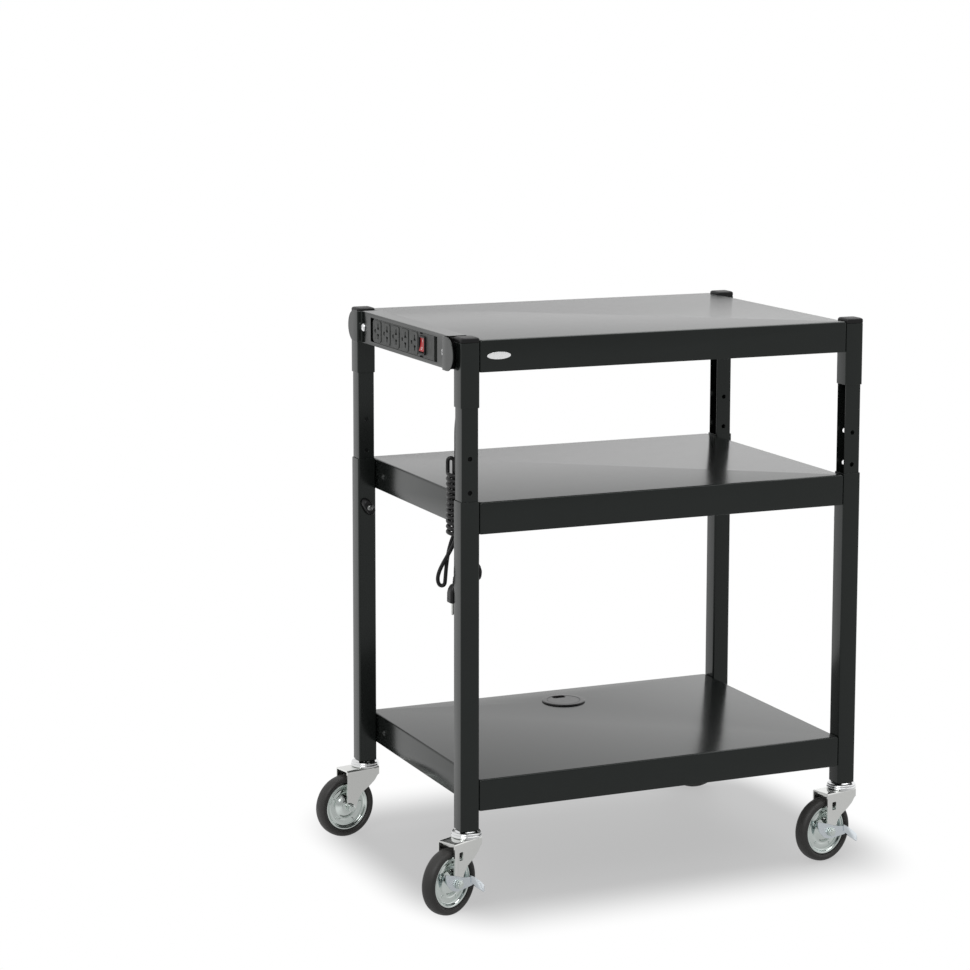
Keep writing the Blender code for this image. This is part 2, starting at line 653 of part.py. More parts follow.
# End pieces between the shell and the legs
for name, sy in (("front", -1), ("back", 1)):
    end_piece = bmesh.new()
    low_y, high_y = sorted((sy * (housing_half + GAP * 2), sy * (housing_half + END_PIECE_LENGTH)))
    verts = block(end_piece, (shell_outer_x + END_PIECE_INSET, low_y, housing_bottom + END_PIECE_INSET),
                  (shell_inner_x - END_PIECE_INSET / 2, high_y, housing_top - END_PIECE_INSET))
    edges = [edge for edge in end_piece.edges if all(abs(v.co.y) > housing_half + END_PIECE_LENGTH / 2
                                                     for v in edge.verts)]
    bmesh.ops.bevel(end_piece, geom=edges, offset=END_PIECE_INSET, segments=2, profile=0.5, affect="EDGES")
    add_object("housing_end_" + name, end_piece, BLACK_PLASTIC, lift, (0, 0, -leg_top))

# Outlet strip: moulded block with a flange behind the face plate
strip_half = window_half - STRIP_END_SLOT
strip_front = face_outer_x
strip_back = face_outer_x + STRIP_DEPTH
strip_half_height = WINDOW_HEIGHT / 2 - GAP
flange_front = face_outer_x + sheet + GAP
strip_outline = [(strip_front, -strip_half_height), (strip_front, strip_half_height),
                 (flange_front, strip_half_height), (flange_front, strip_half_height + STRIP_FLANGE),
                 (flange_front + STRIP_FLANGE_DEPTH, strip_half_height + STRIP_FLANGE),
                 (flange_front + STRIP_FLANGE_DEPTH, strip_half_height), (strip_back, strip_half_height),
                 (strip_back, -strip_half_height), (flange_front + STRIP_FLANGE_DEPTH, -strip_half_height),
                 (flange_front + STRIP_FLANGE_DEPTH, -strip_half_height - STRIP_FLANGE),
                 (flange_front, -strip_half_height - STRIP_FLANGE), (flange_front, -strip_half_height)]
strip = bmesh.new()
prism(strip, [(u, v + housing_middle) for u, v in strip_outline], -strip_half, strip_half, "Y")
strip_object = add_object("outlet_strip", strip, STRIP_PLASTIC, lift, (0, 0, -leg_top), smooth=False)
slots = bmesh.new()
cut_front = strip_front - CUT_OVERRUN
cut_back = strip_back + CUT_OVERRUN
outlet_pitch = (2 * strip_half - FIRST_OUTLET_FROM_END - LAST_OUTLET_FROM_END) / (OUTLET_COUNT - 1)
for k in range(OUTLET_COUNT):
    y = strip_half - FIRST_OUTLET_FROM_END - outlet_pitch * k
    for sign in (-1, 1):
        z = housing_middle + sign * BLADE_SPACING / 2
        block(slots, (cut_front, y - BLADE_SLOT_WIDTH / 2, z - BLADE_SLOT_LENGTH / 2),
              (cut_back, y + BLADE_SLOT_WIDTH / 2, z + BLADE_SLOT_LENGTH / 2))
    turned(slots, [(0, cut_front), (GROUND_RADIUS, cut_front), (GROUND_RADIUS, cut_back), (0, cut_back)],
           8, "X", (0, y + GROUND_OFFSET, housing_middle))
switch_y = -strip_half + SWITCH_FROM_END
pivot_x = face_outer_x + SWITCH_PIVOT_DEPTH
corner_reach = sqrt((SWITCH_PIVOT_DEPTH + SWITCH_PROUD) ** 2 + (SWITCH_HEIGHT / 2) ** 2)
corner_angle = acos((SWITCH_PIVOT_DEPTH + SWITCH_PROUD) / corner_reach)
opening_half = corner_reach * sin(corner_angle + SWITCH_TILT) + SWITCH_PLAY
block(slots, (cut_front, switch_y - SWITCH_WIDTH / 2 - GAP, housing_middle - opening_half),
      (cut_back, switch_y + SWITCH_WIDTH / 2 + GAP, housing_middle + opening_half))
boolean(strip_object, cutter("strip_slots", slots, strip_object))

# Rocker switch, pivoted on an axis along Y and stored pressed at its upper half
rocker_front = -(SWITCH_PIVOT_DEPTH + SWITCH_PROUD)
rocker_back = -SWITCH_PIVOT_DEPTH / 4
rocker_outline = [(rocker_front, SWITCH_HEIGHT / 2), (rocker_front + SWITCH_PROUD * 0.8, SWITCH_HEIGHT / 6),
                  (rocker_front + SWITCH_PROUD * 0.8, -SWITCH_HEIGHT / 6), (rocker_front, -SWITCH_HEIGHT / 2),
                  (rocker_back, -SWITCH_HEIGHT / 2.4), (rocker_back, SWITCH_HEIGHT / 2.4)]
rocker = bmesh.new()
prism(rocker, rocker_outline, -SWITCH_WIDTH / 2, SWITCH_WIDTH / 2, "Y")
rocker_object = add_object("rocker_switch", rocker, RED_PLASTIC, lift,
                           (pivot_x, switch_y, housing_middle - leg_top), smooth=False)
rocker_object.rotation_euler = (0, SWITCH_TILT, 0)

# Bare oval badge place
badge = bmesh.new()
badge_x = -inner_x + BADGE_FROM_LEG
badge_z = TOP_SHELF_TOP - LIP_HEIGHT / 2
badge_angles = [2 * pi * k / 20 for k in range(20)]
prism(badge, [(badge_x + BADGE_HALF_LENGTH * cos(angle), badge_z + BADGE_HALF_HEIGHT * sin(angle))
              for angle in badge_angles], -half_depth - GAP - BADGE_THICKNESS, -half_depth - GAP, "Y")
add_object("badge_plate", badge, BADGE_METAL, lift, (0, 0, -leg_top))


# Casters

fork_half = FORK_WIDTH / 2
hub_half = fork_half - FORK_SHEET - GAP
skirt_reach = asin(fork_half / FORK_FRONT_RADIUS)
axle_hole = AXLE_RADIUS + GAP
fork_low = fork_top - FORK_SHEET
race_top = leg_bottom - GAP
race_low = fork_top + GAP

rim_shares = [(0.34, 0.60), (0.64, 0.28), (0.86, 0.34), (1.0, 0.46)]
tyre_shares = [(0.0, 0.72), (0.35, 1.0), (0.75, 0.9), (1.0, 0.5)]
leg_edge_shares = [(0.0, 0.8), (0.18, 0.65), (0.40, 0.52), (0.75, 0.36), (0.95, 0.16)]
lever_height = NUT_RADIUS * 1.6

rim_profile = [(axle_hole, hub_half), (HUB_RADIUS, hub_half)]
rim_profile += [(rim_radius * radius, hub_half * along) for radius, along in rim_shares]
rim_profile += [(radius, -along) for radius, along in reversed(rim_profile)]
tyre_inner = rim_radius + GAP
tyre_profile = [(tyre_inner + (WHEEL_RADIUS - tyre_inner) * radius, TYRE_WIDTH / 2 * along)
                for radius, along in tyre_shares]
tyre_profile += [(radius, -along) for radius, along in reversed(tyre_profile)]

for corner, (sx, sy) in CORNERS.items():
    # Stem with its bearing head, fixed in the leg
    stem = bmesh.new()
    side = bore - 2 * GAP
    stem_outline = rounded_rectangle(side, side, LEG_CORNER - LEG_WALL, 2)
    prism(stem, stem_outline, leg_bottom, leg_bottom + STEM_LENGTH, "Z")
    stem_object = add_object("caster_stem_" + corner, stem, ZINC, cart, (sx * leg_x, sy * leg_y, 0))
    head = bmesh.new()
    head_profile = [(0, leg_bottom + LEG_WALL), (side * 0.4, leg_bottom + LEG_WALL), (side * 0.4, race_top),
                    (RACE_RADIUS * 0.9, race_top), (RACE_RADIUS, race_top - (race_top - race_low) * 0.25),
                    (RACE_RADIUS * 0.84, race_top - (race_top - race_low) * 0.55),
                    (RACE_RADIUS * 0.84, race_low), (KINGPIN_RADIUS, race_low),
                    (KINGPIN_RADIUS, fork_low - GAP), (KINGPIN_HEAD_RADIUS, fork_low - GAP),
                    (0, fork_low - GAP - KINGPIN_HEAD_HEIGHT)]
    turned(head, head_profile, 16, "Z")
    boolean(stem_object, cutter("bearing_head_" + corner, head, stem_object), "UNION")

    # Fork: top plate and two tapering legs; local +X is the trail direction
    swivel = add_empty("swivel_" + corner, cart, (sx * leg_x, sy * leg_y, 0), TRAIL_ANGLES[corner])
    rear = CASTER_TRAIL + FORK_BEHIND_AXLE
    arc = [(cos(angle), sin(angle)) for angle in (pi + skirt_reach * (k / 3 - 1) for k in range(7))]
    outer_arc = [(FORK_FRONT_RADIUS * u, FORK_FRONT_RADIUS * v) for u, v in arc]
    skirt_inner = FORK_FRONT_RADIUS - FORK_SHEET
    inner_arc = [(skirt_inner * u, skirt_inner * v) for u, v in reversed(arc)]
    fork = bmesh.new()
    prism(fork, [(rear, -fork_half), (rear, fork_half)] + outer_arc, fork_low, fork_top, "Z")
    fork_object = add_object("caster_fork_" + corner, fork, ZINC, swivel)
    leg_high = fork_low + FORK_SHEET / 2
    side_outline = [(rear, leg_high), (rear, WHEEL_RADIUS)]
    for k in range(1, 7):
        angle = -pi * k / 6
        reach = FORK_BEHIND_AXLE if cos(angle) > 0 else FORK_BEFORE_AXLE
        side_outline.append((CASTER_TRAIL + reach * cos(angle), WHEEL_RADIUS + FORK_BELOW_AXLE * sin(angle)))
    front = FORK_FRONT_RADIUS * cos(pi - skirt_reach)
    waist = CASTER_TRAIL - FORK_BEFORE_AXLE
    leg_height = leg_high - WHEEL_RADIUS
    for across, up in reversed([(0.0, 1.0)] + leg_edge_shares):
        side_outline.append((front + (waist - front) * across, WHEEL_RADIUS + leg_height * up))
    sides = bmesh.new()
    for sign in (-1, 1):
        low, high = sorted((sign * (fork_half - FORK_SHEET), sign * fork_half))
        prism(sides, side_outline, low, high, "Y")
    boolean(fork_object, cutter("fork_legs_" + corner, sides, swivel), "UNION")
    skirt = bmesh.new()
    prism(skirt, outer_arc + inner_arc, leg_high - FORK_SKIRT, leg_high, "Z")
    boolean(fork_object, cutter("fork_skirt_" + corner, skirt, swivel), "UNION")
    bores = rod_builder("Y", axle_hole, -fork_half - CUT_OVERRUN, fork_half + CUT_OVERRUN,
                        [(CASTER_TRAIL, 0, WHEEL_RADIUS)])
    turned(bores, [(0, fork_low - CUT_OVERRUN), (KINGPIN_RADIUS + GAP, fork_low - CUT_OVERRUN),
                   (KINGPIN_RADIUS + GAP, fork_top + CUT_OVERRUN), (0, fork_top + CUT_OVERRUN)], 12, "Z")
    boolean(fork_object, cutter("fork_bores_" + corner, bores, swivel))

    # Axle bolt with its head and nut; a braked caster has the lever under the near nut
    near = 1
    lever_room = LEVER_SHEET + GAP if corner in BRAKED else 0
    axle = bmesh.new()
    near_face = near * (fork_half + GAP + lever_room)
    far_face = -near * (fork_half + GAP)
    axle_profile = [(0, near_face + near * NUT_HEIGHT), (NUT_RADIUS, near_face + near * NUT_HEIGHT),
                    (NUT_RADIUS, near_face), (AXLE_RADIUS, near_face), (AXLE_RADIUS, far_face),
                    (NUT_RADIUS, far_face), (NUT_RADIUS, far_face - near * NUT_HEIGHT),
                    (0, far_face - near * NUT_HEIGHT)]
    turned(axle, axle_profile, 10, "Y")
    add_object("axle_bolt_" + corner, axle, ZINC, swivel, (CASTER_TRAIL, 0, WHEEL_RADIUS))

    # Wheel
    wheel = add_empty("wheel_" + corner, swivel, (CASTER_TRAIL, 0, WHEEL_RADIUS))
    rim = bmesh.new()
    turned(rim, rim_profile, WHEEL_SIDES, "Y", closed=True, phase=pi / 2)
    add_object("wheel_rim_" + corner, rim, ZINC, wheel)
    tyre = bmesh.new()
    turned(tyre, tyre_profile, WHEEL_SIDES, "Y", closed=True, phase=pi / 2)
    add_object("tyre_" + corner, tyre, RUBBER, wheel)

    # Brake lever: plate on the axle with a wing, and a pedal bent outwards
    if corner in BRAKED:
        plate_low, plate_high = sorted((near * (fork_half + GAP), near * (fork_half + GAP + LEVER_SHEET)))
        tread_top = lever_height * 0.3
        tread_end = -lever_height * 1.5
        neck = PEDAL_LENGTH - PEDAL_REACH
        wing_shares = [(0.0, -1.0), (0.45, -0.7), (0.85, 0.3), (1.0, 1.8), (0.3, 1.25), (-0.4, 0.6)]
        plate_outline = [(neck, -lever_height * 0.8)]
        plate_outline += [(LEVER_WING * along, lever_height * up) for along, up in wing_shares]
        plate_outline.append((neck, tread_top))
        lever = bmesh.new()
        prism(lever, plate_outline, plate_low, plate_high, "Y")
        axle_place = (CASTER_TRAIL, 0, WHEEL_RADIUS)
        lever_object = add_object("brake_lever_" + corner, lever, ZINC, swivel, axle_place)
        pedal = bmesh.new()
        tread_outline = [(neck + LEVER_SHEET, tread_top), (-PEDAL_REACH, tread_end),
                         (-PEDAL_REACH, tread_end - LEVER_SHEET),
                         (neck + LEVER_SHEET, tread_top - LEVER_SHEET)]
        low, high = sorted((near * (fork_half + GAP), near * (fork_half + GAP + PEDAL_WIDTH)))
        prism(pedal, tread_outline, low, high, "Y")
        boolean(lever_object, cutter("pedal_" + corner, pedal, lever_object), "UNION")
        lever_bore = rod_builder("Y", axle_hole, plate_low - CUT_OVERRUN, plate_high + CUT_OVERRUN,
                                 [(0, 0, 0)])
        boolean(lever_object, cutter("lever_bore_" + corner, lever_bore, lever_object))


# Power cord: gland, free run, wound hank and plug

def tube_object(name, points, resolution, parent, location):
    curve = bpy.data.curves.new(name, "CURVE")
    curve.dimensions = "3D"
    curve.bevel_depth = CORD_DIAMETER / 2
    curve.bevel_resolution = resolution
    curve.use_fill_caps = True
    spline = curve.splines.new("POLY")
    spline.points.add(len(points) - 1)
    for target, point in zip(spline.points, points):
        target.co = (*point, 1.0)
    curve.materials.append(CORD_JACKET)
    made = bpy.data.objects.new(name, curve)
    bpy.context.scene.collection.objects.link(made)
    made.parent = parent
    made.location = location
    return made


spacing = CORD_DIAMETER + CORD_GAP
wrap_x = spacing + WRAP_EASE
wrap_y = spacing * 1.5 + WRAP_EASE * 0.8
hank_x = -inner_x - HANK_FROM_SIDE_LIP
hank_y = -inner_y + HANK_FROM_LEG + wrap_y + CORD_DIAMETER / 2
gland_x = -inner_x - END_PIECE_LENGTH * 0.8
gland_y = -inner_y + GLAND_FROM_LEG
gland_top = housing_bottom + END_PIECE_INSET - GAP
gland_bottom = gland_top - GLAND_LENGTH

gland = bmesh.new()
gland_profile = [(0, gland_top), (GLAND_RADIUS, gland_top), (GLAND_RADIUS, gland_top - GLAND_LENGTH * 0.3),
                 (CORD_DIAMETER * 0.72, gland_top - GLAND_LENGTH * 0.45), (CORD_DIAMETER * 0.6, gland_bottom),
                 (0, gland_bottom)]
turned(gland, gland_profile, 12, "Z", (gland_x, gland_y, 0))
add_object("cord_gland", gland, BLACK_PLASTIC, lift, (0, 0, -leg_top))


def cubic(start, start_pull, end_pull, end, steps):
    points = []
    for k in range(steps + 1):
        t = k / steps
        points.append(start * (1 - t) ** 3 + start_pull * 3 * t * (1 - t) ** 2
                      + end_pull * 3 * t * t * (1 - t) + end * t ** 3)
    return points


down = Vector((0, 0, -1))
run_start = Vector((gland_x, gland_y, gland_bottom - GAP))
feed_top = TOP_SHELF_TOP - HANK_FEED_DROP
feed = Vector((hank_x, hank_y - spacing / 2, feed_top))
run_end = feed - down * GAP
pull = down * (run_start.z - run_end.z) * 0.45
curve_start = run_start + down * CORD_DIAMETER
curve_end = run_end - down * CORD_DIAMETER
run = [run_start] + cubic(curve_start, curve_start + pull, curve_end - pull, curve_end, 8) + [run_end]
tube_object("power_cord", run, 2, lift, (0, 0, -leg_top))

# Hank: down, round the hanging loop, up, over the bight, then wound down round both strands
wrap_top = TOP_SHELF_TOP - HANK_WRAP_DROP
wrap_bottom = wrap_top - WRAP_TURNS * spacing
centre = Vector((hank_x, hank_y, 0))
front_strand = centre + Vector((0, -spacing / 2, 0))
back_strand = centre + Vector((0, spacing / 2, 0))


def at_height(point, z):
    return Vector((point.x, point.y, z))


def wrap_point(angle, z):
    return centre + Vector((wrap_x * cos(angle), wrap_y * sin(angle), z))


def loop_point(place):
    return centre + Vector((-place[0], place[1], wrap_bottom - place[2]))


loop_points = 18
feed_heights = (feed_top, feed_top - CORD_DIAMETER, wrap_top)
hank = [at_height(front_strand, z) for z in feed_heights]
outer_end = loop_point(LOOP_OUTER_END)
lowest = loop_point(LOOP_LOW)
hank += cubic(at_height(front_strand, wrap_bottom), loop_point(LOOP_OUTER_START), outer_end, lowest, 12)
hank += cubic(lowest, lowest + (lowest - outer_end) * LOOP_TURN, loop_point(LOOP_INNER_END),
              at_height(back_strand, wrap_bottom), 12)[1:]
bight_low = wrap_top + spacing
hank += [at_height(back_strand, z) for z in (wrap_top, bight_low)]
bight_start = at_height(back_strand, bight_low)
bight_end = wrap_point(WRAP_START, bight_low)
for k in range(1, loop_points // 2):
    s = k / (loop_points // 2)
    across = bight_start.lerp(bight_end, (1 - cos(pi * s)) / 2)
    hank.append(across + Vector((0, 0, BIGHT_HEIGHT * sin(pi * s))))
hank.append(bight_end)


# The first turn starts from straight down and the last one ends so, each round a quarter circle
corner_steps = 4
corner_turn = WRAP_CORNER / wrap_x
first_angle = WRAP_START + corner_turn
last_angle = pi / 2 + 2 * pi * WRAP_TURNS
for k in range(corner_steps):
    s = pi / 2 * k / corner_steps
    hank.append(wrap_point(WRAP_START + corner_turn * (1 - cos(s)), wrap_top + WRAP_CORNER * (1 - sin(s))))
helix_span = last_angle - corner_turn - first_angle
helix_steps = int(loop_points * helix_span / (2 * pi))
for k in range(helix_steps + 1):
    angle = first_angle + helix_span * k / helix_steps
    hank.append(wrap_point(angle, wrap_top - spacing * (angle - first_angle) / (2 * pi)))
helix_end = hank[-1].z
for k in range(1, corner_steps + 1):
    s = pi / 2 * k / corner_steps
    hank.append(wrap_point(last_angle - corner_turn * (1 - sin(s)), helix_end - WRAP_CORNER * (1 - cos(s))))
plug_x = hank_x - PLUG_ASIDE
plug_y = hank_y - wrap_y + PLUG_FORWARD
tail_start = hank[-1] + down * spacing
plug_top = TOP_SHELF_TOP - PLUG_DROP
tail_end = Vector((plug_x, plug_y, plug_top))
tail_pull = down * (tail_start.z - tail_end.z) * 0.4
hank += cubic(tail_start, tail_start + tail_pull, tail_end - down * CORD_DIAMETER - tail_pull,
              tail_end - down * CORD_DIAMETER, 6) + [tail_end]
tube_object("cord_hank", hank, 1, lift, (0, 0, -leg_top))


def least_gap(points):
    # Least distance between stretches that are more than three diameters apart along the tube
    fine = []
    along = [0.0]
    for first, second in zip(points, points[1:]):
        pieces = max(1, int((second - first).length / (CORD_DIAMETER / 6)))
        for k in range(pieces):
            fine.append(first.lerp(second, k / pieces))
    for first, second in zip(fine, fine[1:]):
        along.append(along[-1] + (second - first).length)
    best = min((fine[j] - fine[i]).length for i in range(len(fine)) for j in range(i + 1, len(fine))
               if along[j] - along[i] > 3 * CORD_DIAMETER)
    return best - CORD_DIAMETER, along[-1]


hank_gap, hank_length = least_gap(hank)
run_length = sum((second - first).length for first, second in zip(run, run[1:]))
print("hank least gap to itself, mm", round(hank_gap * 1000, 2))
print("cord length, m", round(hank_length + run_length, 3))

# Plug with its boot, blades and ground pin
plug = bmesh.new()
body_high = plug_top - GAP - PLUG_BOOT_LENGTH
body_low = body_high - PLUG_LENGTH
boot_profile = [(CORD_DIAMETER * 0.62, plug_top - GAP), (CORD_DIAMETER * 0.8, body_high)]
verts = block(plug, (-PLUG_WIDTH / 2, -PLUG_DEPTH / 2, body_low), (PLUG_WIDTH / 2, PLUG_DEPTH / 2, body_high))
for vert in verts:
    if vert.co.z > (body_low + body_high) / 2:
        vert.co.x *= 0.8
        vert.co.y *= 0.75
bmesh.ops.bevel(plug, geom=list(plug.edges), offset=PLUG_WIDTH / 8, segments=2, profile=0.5, affect="EDGES")
plug_object = add_object("power_plug", plug, CORD_JACKET, lift, (plug_x, plug_y, -leg_top))
boot = bmesh.new()
turned(boot, [(0, plug_top - GAP)] + boot_profile + [(CORD_DIAMETER * 0.8, body_high - PLUG_LENGTH / 4),
                                                    (0, body_high - PLUG_LENGTH / 4)], 12, "Z")
boolean(plug_object, cutter("plug_boot", boot, plug_object), "UNION")
blades = bmesh.new()
for sign in (-1, 1):
    y = sign * PLUG_BLADE_SPACING / 2
    block(blades, (PLUG_BLADE_OFFSET - PLUG_BLADE_WIDTH / 2, y - PLUG_BLADE_THICKNESS / 2,
                   body_low - PLUG_BLADE_LENGTH),
          (PLUG_BLADE_OFFSET + PLUG_BLADE_WIDTH / 2, y + PLUG_BLADE_THICKNESS / 2,
           body_low + PLUG_LENGTH / 4))
pin_x = PLUG_BLADE_OFFSET - PLUG_PIN_SPACING
turned(blades, [(0, body_low - PLUG_PIN_LENGTH), (PLUG_PIN_RADIUS / 2, body_low - PLUG_PIN_LENGTH),
                (PLUG_PIN_RADIUS, body_low - PLUG_PIN_LENGTH + PLUG_PIN_RADIUS / 2),
                (PLUG_PIN_RADIUS, body_low + PLUG_LENGTH / 4), (0, body_low + PLUG_LENGTH / 4)],
       10, "Z", (pin_x, 0, 0))
boolean(plug_object, cutter("plug_blades", blades, plug_object), "UNION")


# Stand the cart with the middle of its footprint at the origin, the cord and plug left aside
cord_names = ("power_cord", "cord_hank", "power_plug")
bpy.context.view_layer.update()
graph = bpy.context.evaluated_depsgraph_get()
places = []
for item in bpy.context.scene.objects:
    if item.type == "MESH" and not item.hide_render and item.name not in cord_names:
        shape = item.evaluated_get(graph)
        places += [shape.matrix_world @ vert.co for vert in shape.data.vertices]
for axis in (0, 1):
    along = [place[axis] for place in places]
    cart.location[axis] = -(min(along) + max(along)) / 2
bpy.context.view_layer.update()
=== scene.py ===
import bpy
import bmesh
from math import acos, asin, cos, pi, radians, sin, sqrt
from mathutils import Matrix, Vector


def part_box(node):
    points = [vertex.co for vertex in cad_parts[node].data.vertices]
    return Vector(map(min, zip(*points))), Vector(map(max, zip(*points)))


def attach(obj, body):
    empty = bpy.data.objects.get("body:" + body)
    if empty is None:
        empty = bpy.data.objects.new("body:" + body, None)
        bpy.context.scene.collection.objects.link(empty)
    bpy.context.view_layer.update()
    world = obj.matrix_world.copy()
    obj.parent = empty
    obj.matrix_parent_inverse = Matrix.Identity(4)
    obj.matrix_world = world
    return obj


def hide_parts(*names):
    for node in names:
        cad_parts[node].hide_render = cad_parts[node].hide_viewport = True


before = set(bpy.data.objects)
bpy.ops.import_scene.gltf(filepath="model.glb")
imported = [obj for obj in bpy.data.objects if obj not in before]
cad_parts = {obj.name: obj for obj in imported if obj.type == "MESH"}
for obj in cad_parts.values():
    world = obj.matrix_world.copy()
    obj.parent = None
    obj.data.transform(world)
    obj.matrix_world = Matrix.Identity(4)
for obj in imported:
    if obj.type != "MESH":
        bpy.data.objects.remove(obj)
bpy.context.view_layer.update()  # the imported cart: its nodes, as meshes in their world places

scene = bpy.context.scene
print("frame loaded:", len(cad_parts), "nodes")

# Sizes that more than one piece shares, in metres, with the middle of the cart at x 0 and y 0
cart = {
    "halfDepth": 0.2275, "legSize": 0.030, "legWall": 0.0015, "legCorner": 0.003, "legX": 0.325, "legY": 0.2125,
    "innerX": 0.310, "innerY": 0.1975, "legBottom": 0.123, "legTop": 0.623, "sleeveTop": 0.8592,
    "sleeveLength": 0.0965, "shelfTops": {"bottom": 0.200, "middle": 0.6215, "top": 0.863},
    "lipHeight": 0.048, "sheet": 0.0015, "gap": 0.0003,
}
gap, innerX = cart["gap"], cart["innerX"]
corners = {"front_left": (-1, -1), "front_right": (1, -1), "back_left": (-1, 1), "back_right": (1, 1)}
shelfLow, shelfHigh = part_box("bottom_shelf")
cartMiddle = Vector(((shelfLow.x + shelfHigh.x) / 2, (shelfLow.y + shelfHigh.y) / 2, 0))


# Camera: an eye-level product view from the left front, a little above the top shelf
def makeCamera():
    view = {"place": (-1.91318, -3.95588, 1.3654), "yaw": 0.42539, "pitch": 0.1402, "roll": 0.00399,
            "focalPixels": 2795.74, "shift": (-0.05, -0.10), "sensor": 36.0, "imagePixels": 970, "clipEnd": 60}
    yaw, pitch, roll = view["yaw"], view["pitch"], view["roll"]
    ahead = Vector((sin(yaw) * cos(pitch), cos(yaw) * cos(pitch), -sin(pitch)))
    level = Vector((cos(yaw), -sin(yaw), 0))
    rise = level.cross(ahead)
    right = level * cos(roll) + rise * sin(roll)
    up = rise * cos(roll) - level * sin(roll)
    lens = bpy.data.cameras.new("photoCamera")
    lens.sensor_width = view["sensor"]
    lens.lens = view["sensor"] * view["focalPixels"] / view["imagePixels"]
    lens.shift_x, lens.shift_y = view["shift"]
    lens.clip_end = view["clipEnd"]
    scene.camera = bpy.data.objects.new("photoCamera", lens)
    scene.collection.objects.link(scene.camera)
    turn = Matrix((right, up, -ahead)).transposed().to_4x4()
    scene.camera.matrix_world = Matrix.Translation(Vector(view["place"]) + cartMiddle) @ turn


makeCamera()


# Shader node helpers; an input is a value or a socket, named or counted
def addNode(tree, kind, inputs=None, **settings):
    node = tree.nodes.new("ShaderNode" + kind)
    for name, value in settings.items():
        setattr(node, name, value)
    for name, value in (inputs or {}).items():
        if isinstance(value, bpy.types.NodeSocket):
            tree.links.new(value, node.inputs[name])
        else:
            node.inputs[name].default_value = value
    return node


def combine(tree, operation, *values, clamp=False):
    return addNode(tree, "Math", dict(enumerate(values)), operation=operation, use_clamp=clamp).outputs[0]


def ranged(tree, value, fromLow, fromHigh, toLow, toHigh, kind="LINEAR"):
    node = addNode(tree, "MapRange", {"Value": value, "From Min": fromLow, "From Max": fromHigh, "To Min": toLow,
                                      "To Max": toHigh}, interpolation_type=kind)
    return node.outputs["Result"]


def mixColours(tree, mask, first, second):
    # the colour sockets of a mix node are its inputs 6 and 7 and its output 2
    first, second = ((*value, 1.0) if isinstance(value, tuple) else value for value in (first, second))
    return addNode(tree, "Mix", {0: mask, 6: first, 7: second}, data_type="RGBA").outputs[2]


def splitVector(tree, source):
    return addNode(tree, "SeparateXYZ", {"Vector": source}).outputs


def scaledNoise(tree, scaleSocket, detail):
    # Noise in the piece's own metres, its scale in cells per metre
    mapping = addNode(tree, "Mapping", {"Vector": addNode(tree, "TexCoord").outputs["Object"]})
    inputs = {"Vector": mapping.outputs["Vector"], "Scale": scaleSocket, "Detail": detail, "Roughness": 0.55}
    return addNode(tree, "TexNoise", inputs).outputs["Fac"]


def makeGroup(name, inputs, outputs):
    group = bpy.data.node_groups.new(name, "ShaderNodeTree")
    for label, value in inputs.items():
        socket = group.interface.new_socket(name=label, in_out="INPUT", socket_type="NodeSocketFloat")
        socket.default_value = value
    for label in outputs:
        group.interface.new_socket(name=label, in_out="OUTPUT", socket_type="NodeSocketFloat")
    return group, group.nodes.new("NodeGroupInput").outputs, group.nodes.new("NodeGroupOutput").inputs


def makeMask(group, first, second, given, result):
    both = combine(group, "MULTIPLY", first, second)
    group.links.new(combine(group, "MULTIPLY", both, given["Amount"], clamp=True), result["Mask"])
    return group


def makeEdgeWear():
    # Mask that is 1 on rubbed edges: where the rounded normal leaves the true one, broken up by noise
    group, given, result = makeGroup("edgeWear", {"Width": 0.0006, "Amount": 0.5, "Scale": 220.0}, ["Mask"])
    normals = {0: addNode(group, "Bevel", {"Radius": given["Width"]}, samples=4).outputs["Normal"],
               1: addNode(group, "NewGeometry").outputs["Normal"]}
    dot = addNode(group, "VectorMath", normals, operation="DOT_PRODUCT").outputs["Value"]
    spots = ranged(group, scaledNoise(group, given["Scale"], 4), 0.42, 0.62, 0.15, 1.0)
    return makeMask(group, ranged(group, dot, 0.995, 0.90, 0.0, 1.0), spots, given, result)


def makeSurfaceGrain():
    # Fine height for a bump, with slower and quicker waves, and a tone from 0 to 1 for colour and gloss
    group, given, result = makeGroup("surfaceGrain", {"Fine": 1400.0, "Broad": 60.0}, ["Height", "Tone"])
    fine, broad = scaledNoise(group, given["Fine"], 2), scaledNoise(group, given["Broad"], 3)
    group.links.new(combine(group, "MULTIPLY_ADD", broad, 0.5, fine), result["Height"])
    group.links.new(broad, result["Tone"])
    return group


def makeDust():
    # Mask of settled dust: thicker on faces that look up, in soft patches
    group, given, result = makeGroup("dust", {"Amount": 0.1, "Scale": 25.0}, ["Mask"])
    normal = splitVector(group, addNode(group, "NewGeometry").outputs["Normal"])
    patches = ranged(group, scaledNoise(group, given["Scale"], 6), 0.35, 0.75, 0.2, 1.0)
    return makeMask(group, ranged(group, normal["Z"], 0.3, 1.0, 0.05, 1.0), patches, given, result)


effects = {"edgeWear": makeEdgeWear(), "surfaceGrain": makeSurfaceGrain(), "dust": makeDust()}


def useEffect(tree, name, **values):
    node = tree.nodes.new("ShaderNodeGroup")
    node.node_tree = effects[name]
    for label, value in values.items():
        node.inputs[label].default_value = value
    return node.outputs


